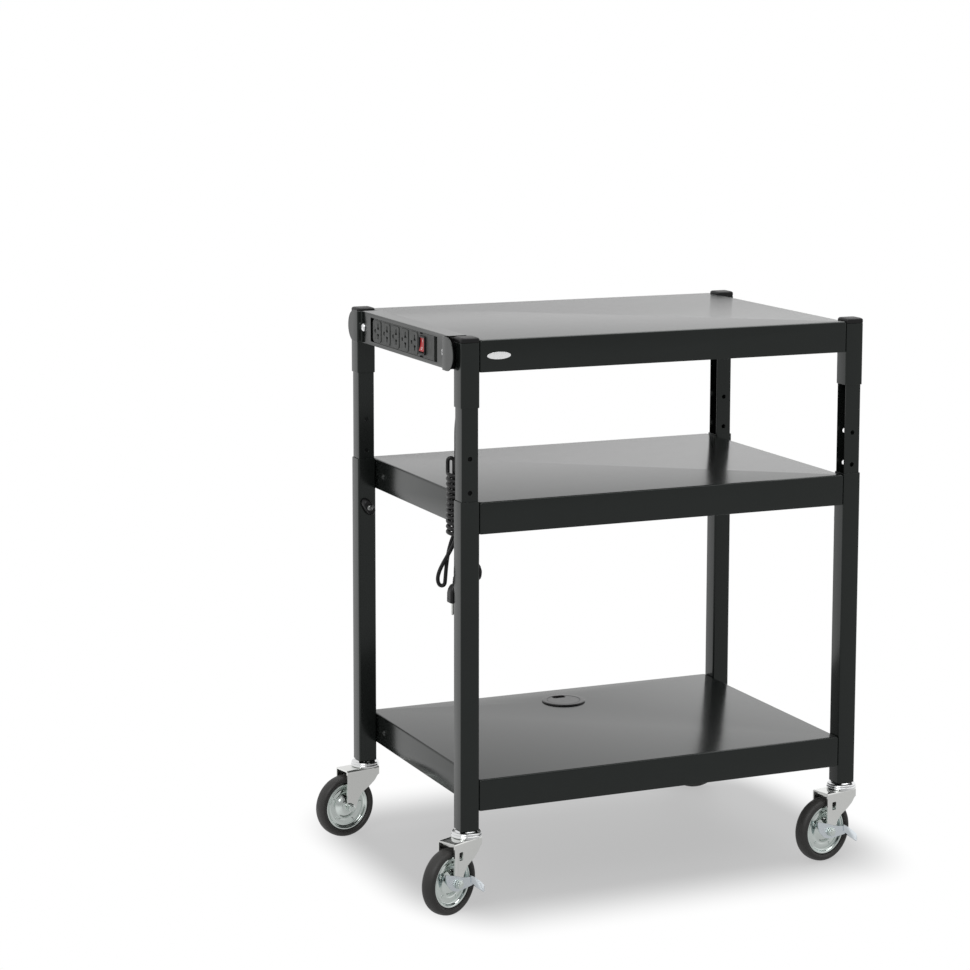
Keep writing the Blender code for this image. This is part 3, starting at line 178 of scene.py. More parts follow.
def makeFinish(name, look):
    # One finish: base and varied colour, grain bump, worn edges and a little dust
    made = bpy.data.materials.new(name)
    made.use_nodes = True
    tree = made.node_tree
    shader = tree.nodes["Principled BSDF"]
    for label, usual in (("Metallic", 0.0), ("Coat Weight", 0.0), ("Coat Roughness", 0.05),
                         ("Specular IOR Level", 0.5), ("Specular Tint", (1.0, 1.0, 1.0, 1.0))):
        shader.inputs[label].default_value = look.get(label, usual)
    grain = useEffect(tree, "surfaceGrain", Fine=look["grain"][0], Broad=look["grain"][1])
    wear = useEffect(tree, "edgeWear", Width=look.get("wearWidth", 0.0006), Amount=look.get("wear", 0.4))
    dust = useEffect(tree, "dust", Amount=look.get("dust", 0.05))
    base, varied, worn = (value if isinstance(value, tuple) else (value,) * 3 for value in look["colours"])
    colour = mixColours(tree, grain["Tone"], base, varied)
    colour = mixColours(tree, wear["Mask"], colour, worn)
    colour = mixColours(tree, dust["Mask"], colour, (0.45, 0.44, 0.42))
    bump = addNode(tree, "Bump", {"Strength": look["bump"], "Distance": 0.0002, "Height": grain["Height"]})
    rough = ranged(tree, grain["Tone"], 0.3, 0.7, *look["roughness"])
    for source, label in ((colour, "Base Color"), (rough, "Roughness"), (bump.outputs["Normal"], "Normal")):
        tree.links.new(source, shader.inputs[label])
    return made


# Finishes: base, varied and worn colour, grain in cells per metre (fine, broad), and the part's material slot
finishes = {
    "satinPaint": {"slot": "frame_paint", "grain": (1500, 60), "roughness": (0.175, 0.185), "bump": 0.02,
                   "colours": ((0.0056, 0.0068, 0.0062), (0.0072, 0.0084, 0.0078), (0.085, 0.09, 0.087)),
                   "wear": 0.35, "dust": 0.006, "Specular Tint": (0.94, 1.0, 0.975, 1.0),
                   "Specular IOR Level": 0.42},
    "blackPlastic": {"slot": "black_plastic", "grain": (2600, 120), "roughness": (0.38, 0.48), "bump": 0.16,
                     "colours": ((0.0055, 0.0055, 0.006), (0.008, 0.008, 0.0085), 0.05),
                     "wear": 0.3, "dust": 0.012, "Specular IOR Level": 0.3},
    "glossPlastic": {"slot": "black_plastic", "grain": (2400, 110), "roughness": (0.20, 0.27), "bump": 0.06,
                     "colours": ((0.010, 0.010, 0.0105), (0.013, 0.013, 0.0135), 0.06), "wear": 0.3,
                     "dust": 0.012},
    "outletPlastic": {"slot": "outlet_plastic", "grain": (3000, 100), "roughness": (0.45, 0.56), "bump": 0.25,
                      "colours": ((0.030, 0.033, 0.031), (0.036, 0.039, 0.037), 0.07), "wear": 0.25},
    "redRocker": {"slot": "red_plastic", "grain": (2200, 160), "roughness": (0.24, 0.32), "bump": 0.04,
                  "colours": ((0.40, 0.008, 0.012), (0.47, 0.014, 0.017), (0.65, 0.08, 0.07)),
                  "wear": 0.5, "Coat Weight": 0.1, "Specular IOR Level": 0.25},
    "markWhite": {"slot": "red_plastic", "grain": (2600, 200), "roughness": (0.4, 0.5), "bump": 0.1,
                  "colours": ((0.72, 0.72, 0.70), (0.66, 0.66, 0.64), (0.5, 0.5, 0.48))},
    "zincPlate": {"slot": "zinc_steel", "grain": (900, 75), "roughness": (0.10, 0.16), "bump": 0.02,
                  "colours": ((0.70, 0.765, 0.735), (0.76, 0.81, 0.785), (0.86, 0.89, 0.875)),
                  "wear": 0.3, "Metallic": 1.0, "dust": 0.02},
    "brightNickel": {"slot": "zinc_steel", "grain": (700, 55), "roughness": (0.09, 0.15), "bump": 0.025,
                     "colours": ((0.80, 0.81, 0.79), (0.85, 0.855, 0.835), (0.93, 0.93, 0.91)),
                     "Metallic": 1.0, "dust": 0.015},
    "paleZinc": {"slot": "zinc_steel", "grain": (800, 90), "roughness": (0.18, 0.32), "bump": 0.06,
                 "colours": ((0.70, 0.76, 0.80), (0.78, 0.82, 0.86), (0.9, 0.92, 0.94)),
                 "wear": 0.5, "Metallic": 1.0, "dust": 0.03},
    "dullSteel": {"slot": "zinc_steel", "grain": (1100, 90), "roughness": (0.26, 0.36), "bump": 0.05,
                  "colours": ((0.20, 0.205, 0.20), (0.26, 0.265, 0.26), (0.45, 0.45, 0.44)),
                  "wear": 0.3, "Metallic": 1.0, "dust": 0.01},
    "chrome": {"slot": "chrome", "grain": (500, 40), "roughness": (0.05, 0.11), "bump": 0.02,
               "colours": ((0.80, 0.81, 0.82), (0.86, 0.87, 0.87), 0.93), "wear": 0.3, "Metallic": 1.0,
               "dust": 0.02},
    "greyRubber": {"slot": "tyre_rubber", "grain": (1900, 140), "roughness": (0.46, 0.58), "bump": 0.22,
                   "colours": ((0.018, 0.0172, 0.0162), (0.026, 0.0248, 0.0235), (0.075, 0.070, 0.066)),
                   "wear": 0.5, "wearWidth": 0.0015, "dust": 0.04},
    "cordJacket": {"slot": "cord_jacket", "grain": (2300, 180), "roughness": (0.32, 0.42), "bump": 0.15,
                   "colours": ((0.005, 0.005, 0.0055), (0.0075, 0.0075, 0.0078), 0.04), "wear": 0.15,
                   "dust": 0.01, "Specular IOR Level": 0.35},
    "badgeMetal": {"slot": "badge_metal", "grain": (1200, 110), "roughness": (0.24, 0.34), "bump": 0.05,
                   "colours": ((0.90, 0.905, 0.905), 0.94, 0.96), "Metallic": 0.35, "dust": 0.01},
    # near-black, dull finish that paints shade on the gaps, hole backs and slot backs it is put on
    "paintedShadeBlack": {"slot": "outlet_plastic", "grain": (2000, 100), "roughness": (0.7, 0.8), "bump": 0.2,
                   "colours": (0.004, 0.006, 0.02), "wear": 0.1, "dust": 0.0, "Specular IOR Level": 0.12},
}
looks = {name: makeFinish(name, look) for name, look in finishes.items()}
print("finishes made:", len(looks))


# Mesh helpers; outlines are lists of (u, v), profiles are lists of (radius, along); each adds to a mesh or to a new one
def circle(count):
    return [2 * pi * k / count for k in range(count)]


def roundedOutline(width, height, radius, steps):
    outline = []
    for index, (sx, sy) in enumerate(((1, 1), (-1, 1), (-1, -1), (1, -1))):
        for k in range(steps + 1):
            angle = pi / 2 * (index + k / steps)
            outline.append((sx * (width / 2 - radius) + radius * cos(angle),
                            sy * (height / 2 - radius) + radius * sin(angle)))
    return outline


def moved(outline, u, v):
    return [(a + u, b + v) for a, b in outline]


def placed(axis, u, v, w):
    return {"X": (w, u, v), "Y": (u, w, v), "Z": (u, v, w)}[axis]


def addRings(rings, closed=False, mesh=None):
    # rings of points of equal count, joined one to the next; a ring of one point is a pole
    mesh = bmesh.new() if mesh is None else mesh
    rows = [[mesh.verts.new(point) for point in ring] for ring in rings]
    for first, second in list(zip(rows, rows[1:])) + ([(rows[-1], rows[0])] if closed else []):
        count = max(len(first), len(second))
        for k in range(count):
            m = (k + 1) % count
            loop = [first[k % len(first)], first[m % len(first)], second[m % len(second)], second[k % len(second)]]
            mesh.faces.new(list(dict.fromkeys(loop)))
    for row in [] if closed else (rows[0], list(reversed(rows[-1]))):
        if len(row) > 2:
            mesh.faces.new(row)
    return mesh


def addPrism(outline, low, high, axis, mesh=None):
    return addRings([[placed(axis, u, v, w) for u, v in outline] for w in (low, high)], mesh=mesh)


def addBox(low, high, mesh=None):
    base = [(low[0], low[1]), (high[0], low[1]), (high[0], high[1]), (low[0], high[1])]
    return addPrism(base, low[2], high[2], "Z", mesh)


def addTurned(profile, segments, axis, centre=(0, 0, 0), closed=False, mesh=None):
    rings = []
    for radius, along in profile:
        points = [placed(axis, radius * cos(angle), radius * sin(angle), along)
                  for angle in (circle(segments) if radius > 0 else [0])]
        rings.append([[a + b for a, b in zip(point, centre)] for point in points])
    return addRings(rings, closed, mesh)


def rodMesh(axis, radius, low, high, centres, segments=24):
    mesh = bmesh.new()
    for centre in centres:
        addTurned([(0, low), (radius, low), (radius, high), (0, high)], segments, axis, centre, mesh=mesh)
    return mesh


def squareRings(sections, corner, steps):
    # Rounded squares at their heights; corner gives the radius for a width
    return [[(u, v, z) for u, v in roundedOutline(width, width, corner(width), steps)] for width, z in sections]


def plusOutline(reach, half, turn):
    arms = [(reach, half), (half, half), (half, reach)]
    outline = []
    for _ in range(4):
        outline += arms
        arms = [(-v, u) for u, v in arms]
    return [(u * cos(turn) - v * sin(turn), u * sin(turn) + v * cos(turn)) for u, v in outline]


def arcProfile(centre, radius, start, end, steps):
    # Points on an arc of (radius, along), angles in degrees from the radius axis
    angles = [radians(start + (end - start) * k / steps) for k in range(steps + 1)]
    return [(centre[0] + radius * cos(angle), centre[1] + radius * sin(angle)) for angle in angles]


def makeObject(name, mesh):
    bmesh.ops.recalc_face_normals(mesh, faces=mesh.faces)
    data = bpy.data.meshes.new(name)
    mesh.to_mesh(data)
    mesh.free()
    data.shade_smooth()
    made = bpy.data.objects.new(name, data)
    scene.collection.objects.link(made)
    return made


def change(piece, kind, **settings):
    # Adds a modifier and applies it
    modifier = piece.modifiers.new("change", kind)
    for name, value in settings.items():
        setattr(modifier, name, value)
    graph = bpy.context.evaluated_depsgraph_get()
    data = bpy.data.meshes.new_from_object(piece.evaluated_get(graph))
    piece.modifiers.clear()
    old = piece.data
    piece.data = data
    bpy.data.meshes.remove(old)


def cutAway(piece, tool, operation="DIFFERENCE"):
    # tool is a mesh in the same place as the piece; it is used up
    other = makeObject(piece.name + "Tool", tool)
    change(piece, "BOOLEAN", operation=operation, solver="EXACT", object=other)
    data = other.data
    bpy.data.objects.remove(other)
    bpy.data.meshes.remove(data)


def softenEdges(piece, width, segments=2, angle=32):
    change(piece, "BEVEL", width=width, segments=segments, limit_method="ANGLE", angle_limit=radians(angle),
           harden_normals=True, miter_outer="MITER_ARC")


def finishPiece(piece, look, body, *nodes, place=None, slot=None):
    piece.data.materials.clear()
    piece.data.materials.append(looks[look])
    piece.matrix_world = Matrix.Translation(cartMiddle) @ (place or Matrix())
    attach(piece, body)
    if nodes:
        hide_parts(*nodes)
    slot or finishes[look]["slot"]
    return piece


def makePiece(name, mesh, look, body, *nodes, place=None, slot=None, cuts=(), soft=None):
    # A mesh becomes a finished piece: cut, its edges softened, and tied to its body; a cut may name its operation
    piece = makeObject(name, mesh)
    for tool in cuts:
        cutAway(piece, *(tool if isinstance(tool, tuple) else (tool,)))
    if soft:
        softenEdges(piece, *soft)
    return finishPiece(piece, look, body, *nodes, place=place, slot=slot)


def tidyMesh(piece, distance=1e-6):
    mesh = bmesh.new()
    mesh.from_mesh(piece.data)
    bmesh.ops.remove_doubles(mesh, verts=mesh.verts, dist=distance)
    mesh.to_mesh(piece.data)
    mesh.free()


# Power cord: out of its strain relief under the housing, down into a hank wound on itself, and to its plug
cord = {
    "diameter": 0.006, "gap": 0.002, "wrapEase": 0.0023, "wrapCorner": 0.006, "wrapStart": radians(150),
    "turns": 11.5, "fromLeg": 0.003, "fromLip": 0.0188, "wrapTop": 0.658, "feedTop": 0.707,
    "bightHeight": 0.0155, "outerStart": (0.002, -0.0025, 0.026), "outerEnd": (0.036, 0.024, 0.066),
    "loopLow": (0.0152, 0.0114, 0.0820), "loopTurn": 0.26, "innerEnd": (0.012, 0.017, 0.036),
    "pointsPerLoop": 36, "endPieceLength": 0.0185, "reliefFromLeg": 0.0115, "reliefTop": 0.8167,
    "reliefLength": 0.024, "reliefRadius": 0.007, "plugTop": 0.505, "plugAside": 0.003,
    "plugForward": 0.0045, "leastBend": 0.0042, "cornerSteps": 6,
}


def cubicPoints(start, startPull, endPull, end, steps):
    shares = [k / steps for k in range(steps + 1)]
    return [start * (1 - t) ** 3 + startPull * 3 * t * (1 - t) ** 2 + endPull * 3 * t * t * (1 - t) + end * t ** 3
            for t in shares]


def easeBends(route):
    # Points on a bend that is too tight for the cord move towards their neighbours until it is eased
    for _ in range(300):
        eased = list(route)
        for k in range(1, len(route) - 1):
            before, after = route[k] - route[k - 1], route[k + 1] - route[k]
            if before.angle(after) * cord["leastBend"] > (before.length + after.length) / 2:
                eased[k] = route[k] / 2 + (route[k - 1] + route[k + 1]) / 4
        if eased == route:
            break
        route = eased
    return route


def cordRoute():
    # The free run first, then the hank's loop, bight and turns, then the tail, as in the solids; the bight is
    # rounder here, and tight bends are eased
    thick, wrapTop, down = cord["diameter"], cord["wrapTop"], Vector((0, 0, -1))
    spacing = thick + cord["gap"]
    wrapX = spacing + cord["wrapEase"]
    wrapY = spacing * 1.5 + cord["wrapEase"] * 0.8
    wrapBottom = wrapTop - cord["turns"] * spacing
    centre = Vector((-innerX - cord["fromLip"], -cart["innerY"] + cord["fromLeg"] + wrapY + thick / 2, 0))
    relief = Vector((-innerX - cord["endPieceLength"] * 0.8, -cart["innerY"] + cord["reliefFromLeg"],
                     cord["reliefTop"]))
    front, back = centre + Vector((0, -spacing / 2, 0)), centre + Vector((0, spacing / 2, 0))

    def atHeight(point, z):
        return Vector((point.x, point.y, z))

    def strand(point, high, low, steps):
        return [atHeight(point, high + (low - high) * k / steps) for k in range(1, steps + 1)]

    def wrapPoint(angle, z):
        return centre + Vector((wrapX * cos(angle), wrapY * sin(angle), z))

    def loopPoint(place):
        return centre + Vector((-place[0], place[1], wrapBottom - place[2]))

    runStart = relief + down * (cord["reliefLength"] + gap)
    runEnd = atHeight(front, cord["feedTop"] + gap)
    pull = down * (runStart.z - runEnd.z) * 0.45
    curveStart, curveEnd = runStart + down * thick, runEnd - down * thick
    route = [runStart] + cubicPoints(curveStart, curveStart + pull, curveEnd - pull, curveEnd, 14) + [runEnd]

    # the hanging loop: out and down, round its lowest point, and up again on the inner side
    route += strand(front, runEnd.z, wrapTop, 6) + strand(front, wrapTop, wrapBottom, 14)
    outerEnd, lowest = loopPoint(cord["outerEnd"]), loopPoint(cord["loopLow"])
    route += cubicPoints(route[-1], loopPoint(cord["outerStart"]), outerEnd, lowest, 24)[1:]
    route += cubicPoints(lowest, lowest + (lowest - outerEnd) * cord["loopTurn"], loopPoint(cord["innerEnd"]),
                         atHeight(back, wrapBottom), 24)[1:]

    # up inside the hank, over the bight's round arch and down to where the turns start
    bightLow = wrapTop + spacing
    route += strand(back, wrapBottom, bightLow, 16)
    bightEnd = wrapPoint(cord["wrapStart"], bightLow)
    arch = (bightEnd - route[-1]).length / 2
    archLow = bightLow + cord["bightHeight"] - arch
    route += strand(back, bightLow, archLow, 5)
    archStart, archEnd = route[-1], atHeight(bightEnd, archLow)
    for k in range(1, 19):
        angle = pi * k / 18
        route.append(archStart.lerp(archEnd, (1 - cos(angle)) / 2) + Vector((0, 0, arch * sin(angle))))
    route += strand(bightEnd, archLow, bightLow, 5)

    # a corner into the turns, the turns themselves, and a corner out of them
    quarter = [pi / 2 * k / cord["cornerSteps"] for k in range(cord["cornerSteps"] + 1)]
    cornerTurn = cord["wrapCorner"] / wrapX
    firstAngle = cord["wrapStart"] + cornerTurn
    lastAngle = pi / 2 + 2 * pi * cord["turns"]
    route += [wrapPoint(cord["wrapStart"] + cornerTurn * (1 - cos(s)), wrapTop + cord["wrapCorner"] * (1 - sin(s)))
              for s in quarter[:-1]]
    span = lastAngle - cornerTurn - firstAngle
    steps = int(cord["pointsPerLoop"] * span / (2 * pi))
    route += [wrapPoint(firstAngle + span * k / steps, wrapTop - spacing * span * k / steps / (2 * pi))
              for k in range(steps + 1)]
    helixEnd = route[-1].z
    route += [wrapPoint(lastAngle - cornerTurn * (1 - sin(s)), helixEnd - cord["wrapCorner"] * (1 - cos(s)))
              for s in quarter[1:]]

    plugPlace = Vector((centre.x - cord["plugAside"], centre.y - wrapY + cord["plugForward"], cord["plugTop"]))
    tailStart, curveEnd = route[-1] + down * spacing, plugPlace - down * thick
    pull = down * (tailStart.z - plugPlace.z) * 0.4
    route += cubicPoints(tailStart, tailStart + pull, curveEnd - pull, curveEnd, 18) + [plugPlace]
    return easeBends(route), relief, plugPlace


def makeCord(route):
    curve = bpy.data.curves.new("powerCord", "CURVE")
    curve.dimensions = "3D"
    curve.bevel_depth = cord["diameter"] / 2
    curve.bevel_resolution = 4
    curve.use_fill_caps = True
    spline = curve.splines.new("POLY")
    spline.points.add(len(route) - 1)
    for target, point in zip(spline.points, route):
        target.co = (*point, 1.0)
    spline.use_smooth = True
    piece = bpy.data.objects.new("powerCord", curve)
    scene.collection.objects.link(piece)
    return finishPiece(piece, "cordJacket", "upper_frame", "power_cord", "cord_hank")


def makeRelief(relief):
    # Strain relief: a flanged collar, then a tapering boot with ring grooves
    boot = {"rings": 5, "collar": 0.005, "wide": 0.0060, "narrow": 0.0046, "groove": 0.0007}
    top, radius = cord["reliefTop"], cord["reliefRadius"]
    start = top - boot["collar"]
    profile = [(0, top), (radius, top), (radius, top - boot["collar"] * 0.8), (radius * 0.93, start)]
    pitch = (start - top + cord["reliefLength"]) / boot["rings"]
    for k in range(boot["rings"]):
        wide = boot["wide"] + (boot["narrow"] - boot["wide"]) * (k + 0.5) / boot["rings"]
        z = start - pitch * k
        profile += [(wide - boot["groove"], z - pitch * 0.06), (wide - boot["groove"], z - pitch * 0.24),
                    (wide, z - pitch * 0.34), (wide, z - pitch * 0.92)]
    profile += [(0, top - cord["reliefLength"])]
    makePiece("cordRelief", addTurned(profile, 32, "Z", (relief.x, relief.y, 0)), "blackPlastic", "upper_frame",
              "cord_gland", soft=[0.0003])


def makePlug(plugPlace):
    # Moulded plug that hangs blades down: ribbed boot, finger grips, two flat blades and a ground pin
    plug = {"width": 0.023, "depth": 0.019, "length": 0.027, "boot": 0.012, "bladeLength": 0.016,
            "bladeWidth": 0.0063, "bladeThick": 0.0016, "bladeSpacing": 0.0127, "bladeOffset": 0.007,
            "pinSpacing": 0.0119, "pinRadius": 0.0024, "pinLength": 0.019, "grips": 4, "grip": 0.0006}
    top = plugPlace.z - gap
    high = top - plug["boot"]
    low = high - plug["length"]
    thick = cord["diameter"]
    around = [pi / 2 * (q + s / 6) for q in range(4) for s in range(7)]
    rings = []
    for along, wide in ((0.0, 0.92), (0.02, 0.98), (0.08, 1.0), (0.55, 0.98), (0.75, 0.88), (0.9, 0.72), (1.0, 0.56)):
        outline = roundedOutline(plug["width"] * wide, plug["depth"] * wide, 0.004 * wide, 6)
        rings.append([(u, v, low + plug["length"] * along) for u, v in outline])
    boots = [(thick * (0.86 - 0.06 * k) * grow, high + plug["boot"] * k / 4 + plug["boot"] / 4 * share)
             for k in range(4) for share, grow in ((0.04, 1.0), (0.62, 0.98), (0.72, 0.86), (0.94, 0.86))]
    rings += [[(radius * cos(angle), radius * sin(angle), z) for angle in around]
              for radius, z in boots + [(thick * 0.55, top)]]
    body = makeObject("plugBody", addRings(rings))
    tidyMesh(body)
    grips = bmesh.new()
    for k in range(plug["grips"]):
        z = low + plug["length"] * (0.22 + 0.13 * k)
        for sx in (-1, 1):
            addBox((sx * plug["width"] / 2 - plug["grip"], -plug["depth"] * 0.32, z),
                   (sx * plug["width"] / 2 + plug["grip"], plug["depth"] * 0.32, z + 0.0016), grips)
    cutAway(body, grips)
    softenEdges(body, 0.00035)
    place = Matrix.Translation((plugPlace.x, plugPlace.y, 0))
    finishPiece(body, "cordJacket", "upper_frame", "power_plug", place=place)
    blades = bmesh.new()
    outline = roundedOutline(plug["bladeWidth"], plug["bladeLength"] + 0.004, 0.0014, 4)
    for sign in (-1, 1):
        y = sign * plug["bladeSpacing"] / 2
        addPrism(moved(outline, plug["bladeOffset"], low - plug["bladeLength"] / 2 + 0.002),
                 y - plug["bladeThick"] / 2, y + plug["bladeThick"] / 2, "Y", blades)
    tip, pin = low - plug["pinLength"], plug["pinRadius"]
    addTurned([(0, tip), (pin * 0.45, tip), (pin * 0.85, tip + pin * 0.3), (pin, tip + pin * 0.8), (pin, low + 0.002),
               (0, low + 0.002)], 20, "Z", (plug["bladeOffset"] - plug["pinSpacing"], 0, 0), mesh=blades)
    metal = makePiece("plugBlades", blades, "brightNickel", "upper_frame", place=place, slot="cord_jacket",
                      soft=[0.0003])
    return [body, metal]


cordPoints, reliefPlace, plugPlace = cordRoute()
cordLength = sum((b - a).length for a, b in zip(cordPoints, cordPoints[1:]))
cordPiece = makeCord(cordPoints)
makeRelief(reliefPlace)
plugPieces = makePlug(plugPlace)
print("cord made, length in metres:", round(cordLength, 3))


# Legs, channels, sleeves and caps
def cornerPlace(corner):
    sx, sy = corners[corner]
    return Matrix.Translation((sx * cart["legX"], sy * cart["legY"], 0))


def tubeMesh(low, high):
    size, wall, radius = cart["legSize"], cart["legWall"], cart["legCorner"]
    outer = roundedOutline(size, size, radius, 6)
    inner = roundedOutline(size - 2 * wall, size - 2 * wall, radius - wall, 6)
    return addRings([[(u, v, z) for u, v in outline]
                     for outline, z in ((outer, low), (outer, high), (inner, high), (inner, low))], closed=True)


def makeLegs():
    leg = {"studHole": 0.0036, "lockDrop": 0.078, "roundDrop": 0.108, "edge": 0.0004, "channelWall": 0.002,
           "channelBottom": 0.2942, "firstHole": 0.6872, "holePitch": 0.0508, "holes": 8, "holeRadius": 0.0036,
           "overrun": 0.004, "chamfer": 0.0007, "shadeStripSheet": 0.0008,
           "shadeStrips": {"front_left": (-1, -0.0056, 0.0056), "front_right": (1, -0.0009, 0.0060),
                    "back_right": (1, -0.0056, 0.0056)}}
    half, top = cart["legSize"] / 2, cart["sleeveTop"]
    outerHalf = half - cart["legWall"] - gap
    innerHalf = outerHalf - leg["channelWall"]
    bend, chamfer = cart["legCorner"] - cart["legWall"], leg["chamfer"]
    heights = [leg["firstHole"] - leg["holePitch"] * k for k in range(leg["holes"])]
    for corner, (sx, sy) in corners.items():
        place = cornerPlace(corner)
        axis, outward, drop = ("X", -sx, leg["roundDrop"]) if corner == "front_left" else ("Y", -sy, leg["lockDrop"])
        low, high = sorted((outward * (half - cart["legWall"] - leg["overrun"]), outward * (half + leg["overrun"])))
        hole = rodMesh(axis, leg["studHole"], low, high, [(0, 0, cart["legTop"] - drop)])
        makePiece("lowerLeg_" + corner, tubeMesh(cart["legBottom"], cart["legTop"]), "satinPaint", "lower_frame",
                  "lower_leg_" + corner, place=place, cuts=[hole], soft=[leg["edge"]])
        makePiece("legSleeve_" + corner, tubeMesh(top - cart["sleeveLength"], top), "satinPaint", "upper_frame",
                  "leg_sleeve_" + corner, place=place, soft=[leg["edge"]])

        # Channel open towards the shelves, with its row of adjusting holes through both flanges
        edge = -sx * outerHalf
        outline = [(edge, chamfer - outerHalf), (edge + sx * chamfer, -outerHalf)]
        for sign in (-1, 1):
            arc = [pi / 2 * ((sign - 1) / 2 + k / 5) for k in range(6)]
            outline += [(sx * (outerHalf - bend + bend * cos(angle)), sign * (outerHalf - bend) + bend * sin(angle))
                        for angle in arc]
        outline += [(edge + sx * chamfer, outerHalf), (edge, outerHalf - chamfer), (edge, innerHalf),
                    (sx * innerHalf, innerHalf), (sx * innerHalf, -innerHalf), (edge, -innerHalf)]
        reach = outerHalf + leg["overrun"]
        holes = rodMesh("Y", leg["holeRadius"], -reach, reach, [(0, 0, z) for z in heights])
        makePiece("upperLeg_" + corner, addPrism(outline, leg["channelBottom"], top, "Z"), "satinPaint", "upper_frame",
                  "upper_leg_" + corner, place=place, cuts=[holes], soft=[leg["edge"] * 0.75])
        if corner in leg["shadeStrips"]:  # painted shade: a near-black strip behind a flange's holes, so that they look dark
            side, low, high = leg["shadeStrips"][corner]
            thick, flange = leg["shadeStripSheet"], side * (innerHalf - gap)
            rings = [[(u, flange - side * v, z) for u, v in
                      ((low, 0), (high, 0), (high - thick / 2, thick), (low + thick / 2, thick))]
                     for z in (heights[-1] - 0.01, top - 0.02)]
            makePiece("channelShadeStrip_" + corner, addRings(rings), "paintedShadeBlack", "upper_frame", place=place,
                      slot="frame_paint", soft=[0.0002])


def makeCaps():
    # Moulded end caps: a crowned top with rounded edges, over a plug that grips the channel
    cap = {"top": 0.8675, "thickness": 0.008, "round": 0.0032, "crown": 0.0004, "plugDepth": 0.012,
           "plugWidth": 0.0216, "steps": 6}
    bottom, high = cap["top"] - cap["thickness"], cap["top"] - cap["crown"]
    size, plug = cart["legSize"], cap["plugWidth"]
    sections = [(plug - 0.001, bottom - cap["plugDepth"]), (plug, bottom - cap["plugDepth"] + 0.001), (plug, bottom),
                (size - 0.0008, bottom), (size, bottom + 0.0005)]
    for k in range(cap["steps"] + 1):
        angle = pi / 2 * k / cap["steps"]
        sections.append((size - 2 * cap["round"] * (1 - cos(angle)), high - cap["round"] * (1 - sin(angle))))
    sections += [(size * 0.55, cap["top"] - cap["crown"] * 0.35), (size * 0.25, cap["top"])]
    for corner in corners:
        rings = squareRings(sections, lambda width: min(cart["legCorner"] + (size - width) * 0.12, width / 2.1), 6)
        makePiece("legCap_" + corner, addRings(rings), "blackPlastic", "upper_frame", "leg_cap_" + corner,
                  place=cornerPlace(corner), soft=[0.0003, 2, 50])


makeLegs()
makeCaps()
print("legs, channels, sleeves and caps made")


# Shelf pans: one bent sheet with a rounded top edge, a lip all round and a hem folded inside it
def makePans():
    pan = {"bend": 0.003, "steps": 5, "hem": 0.009, "hemGap": 0.0002, "edge": 0.0003}
    sheet, bend, hem = cart["sheet"], pan["bend"], pan["hem"]
    doubled = 2 * sheet + pan["hemGap"]
    width, depth = 2 * (innerX - gap), 2 * cart["halfDepth"]
    for name, top in cart["shelfTops"].items():
        low = top - cart["lipHeight"]
        outer = [(doubled, bend - sheet, low + hem), (doubled, bend - sheet, low + 0.0004),
                 (doubled - 0.0005, bend - sheet, low), (0.0005, bend, low), (0, bend, low + 0.0006)]
        for k in range(pan["steps"] + 1):
            angle = pi / 2 * k / pan["steps"]
            outer.append((bend * (1 - cos(angle)), bend, top - bend * (1 - sin(angle))))
        # inner side: down from the top again, to the hem's upper edge
        inner = [(sheet + 0.0002, bend - sheet, low + hem + 0.0004), (sheet, bend - sheet, low + hem + 0.0012),
                 (sheet, bend - sheet, top - bend), (sheet + 0.0006, bend - sheet, top - sheet - 0.0005),
                 (bend, bend - sheet, top - sheet)]
        rings = [[(u, v, z) for u, v in roundedOutline(width - 2 * inset, depth - 2 * inset, max(radius, 0.0004), 6)]
                 for inset, radius, z in outer[::-1] + inner]
        hole = rodMesh("Z", grommet["holeRadius"], top - 0.01, top + 0.01, [(grommet["x"], grommet["y"], 0)], 64)
        makePiece(name + "ShelfPan", addRings(rings), "satinPaint", "upper_frame" if name == "top" else "lower_frame",
                  name + "_shelf", cuts=[hole] if name == "bottom" else [], soft=[pan["edge"], 2, 40])


grommet = {"x": 0.005, "y": 0.152, "holeRadius": 0.030, "flangeRadius": 0.036, "flangeHeight": 0.0022,
           "wall": 0.0022, "depth": 0.014, "ledge": 0.0025, "capThickness": 0.002, "slotWidth": 0.022,
           "slotStart": 0.013, "segments": 72}


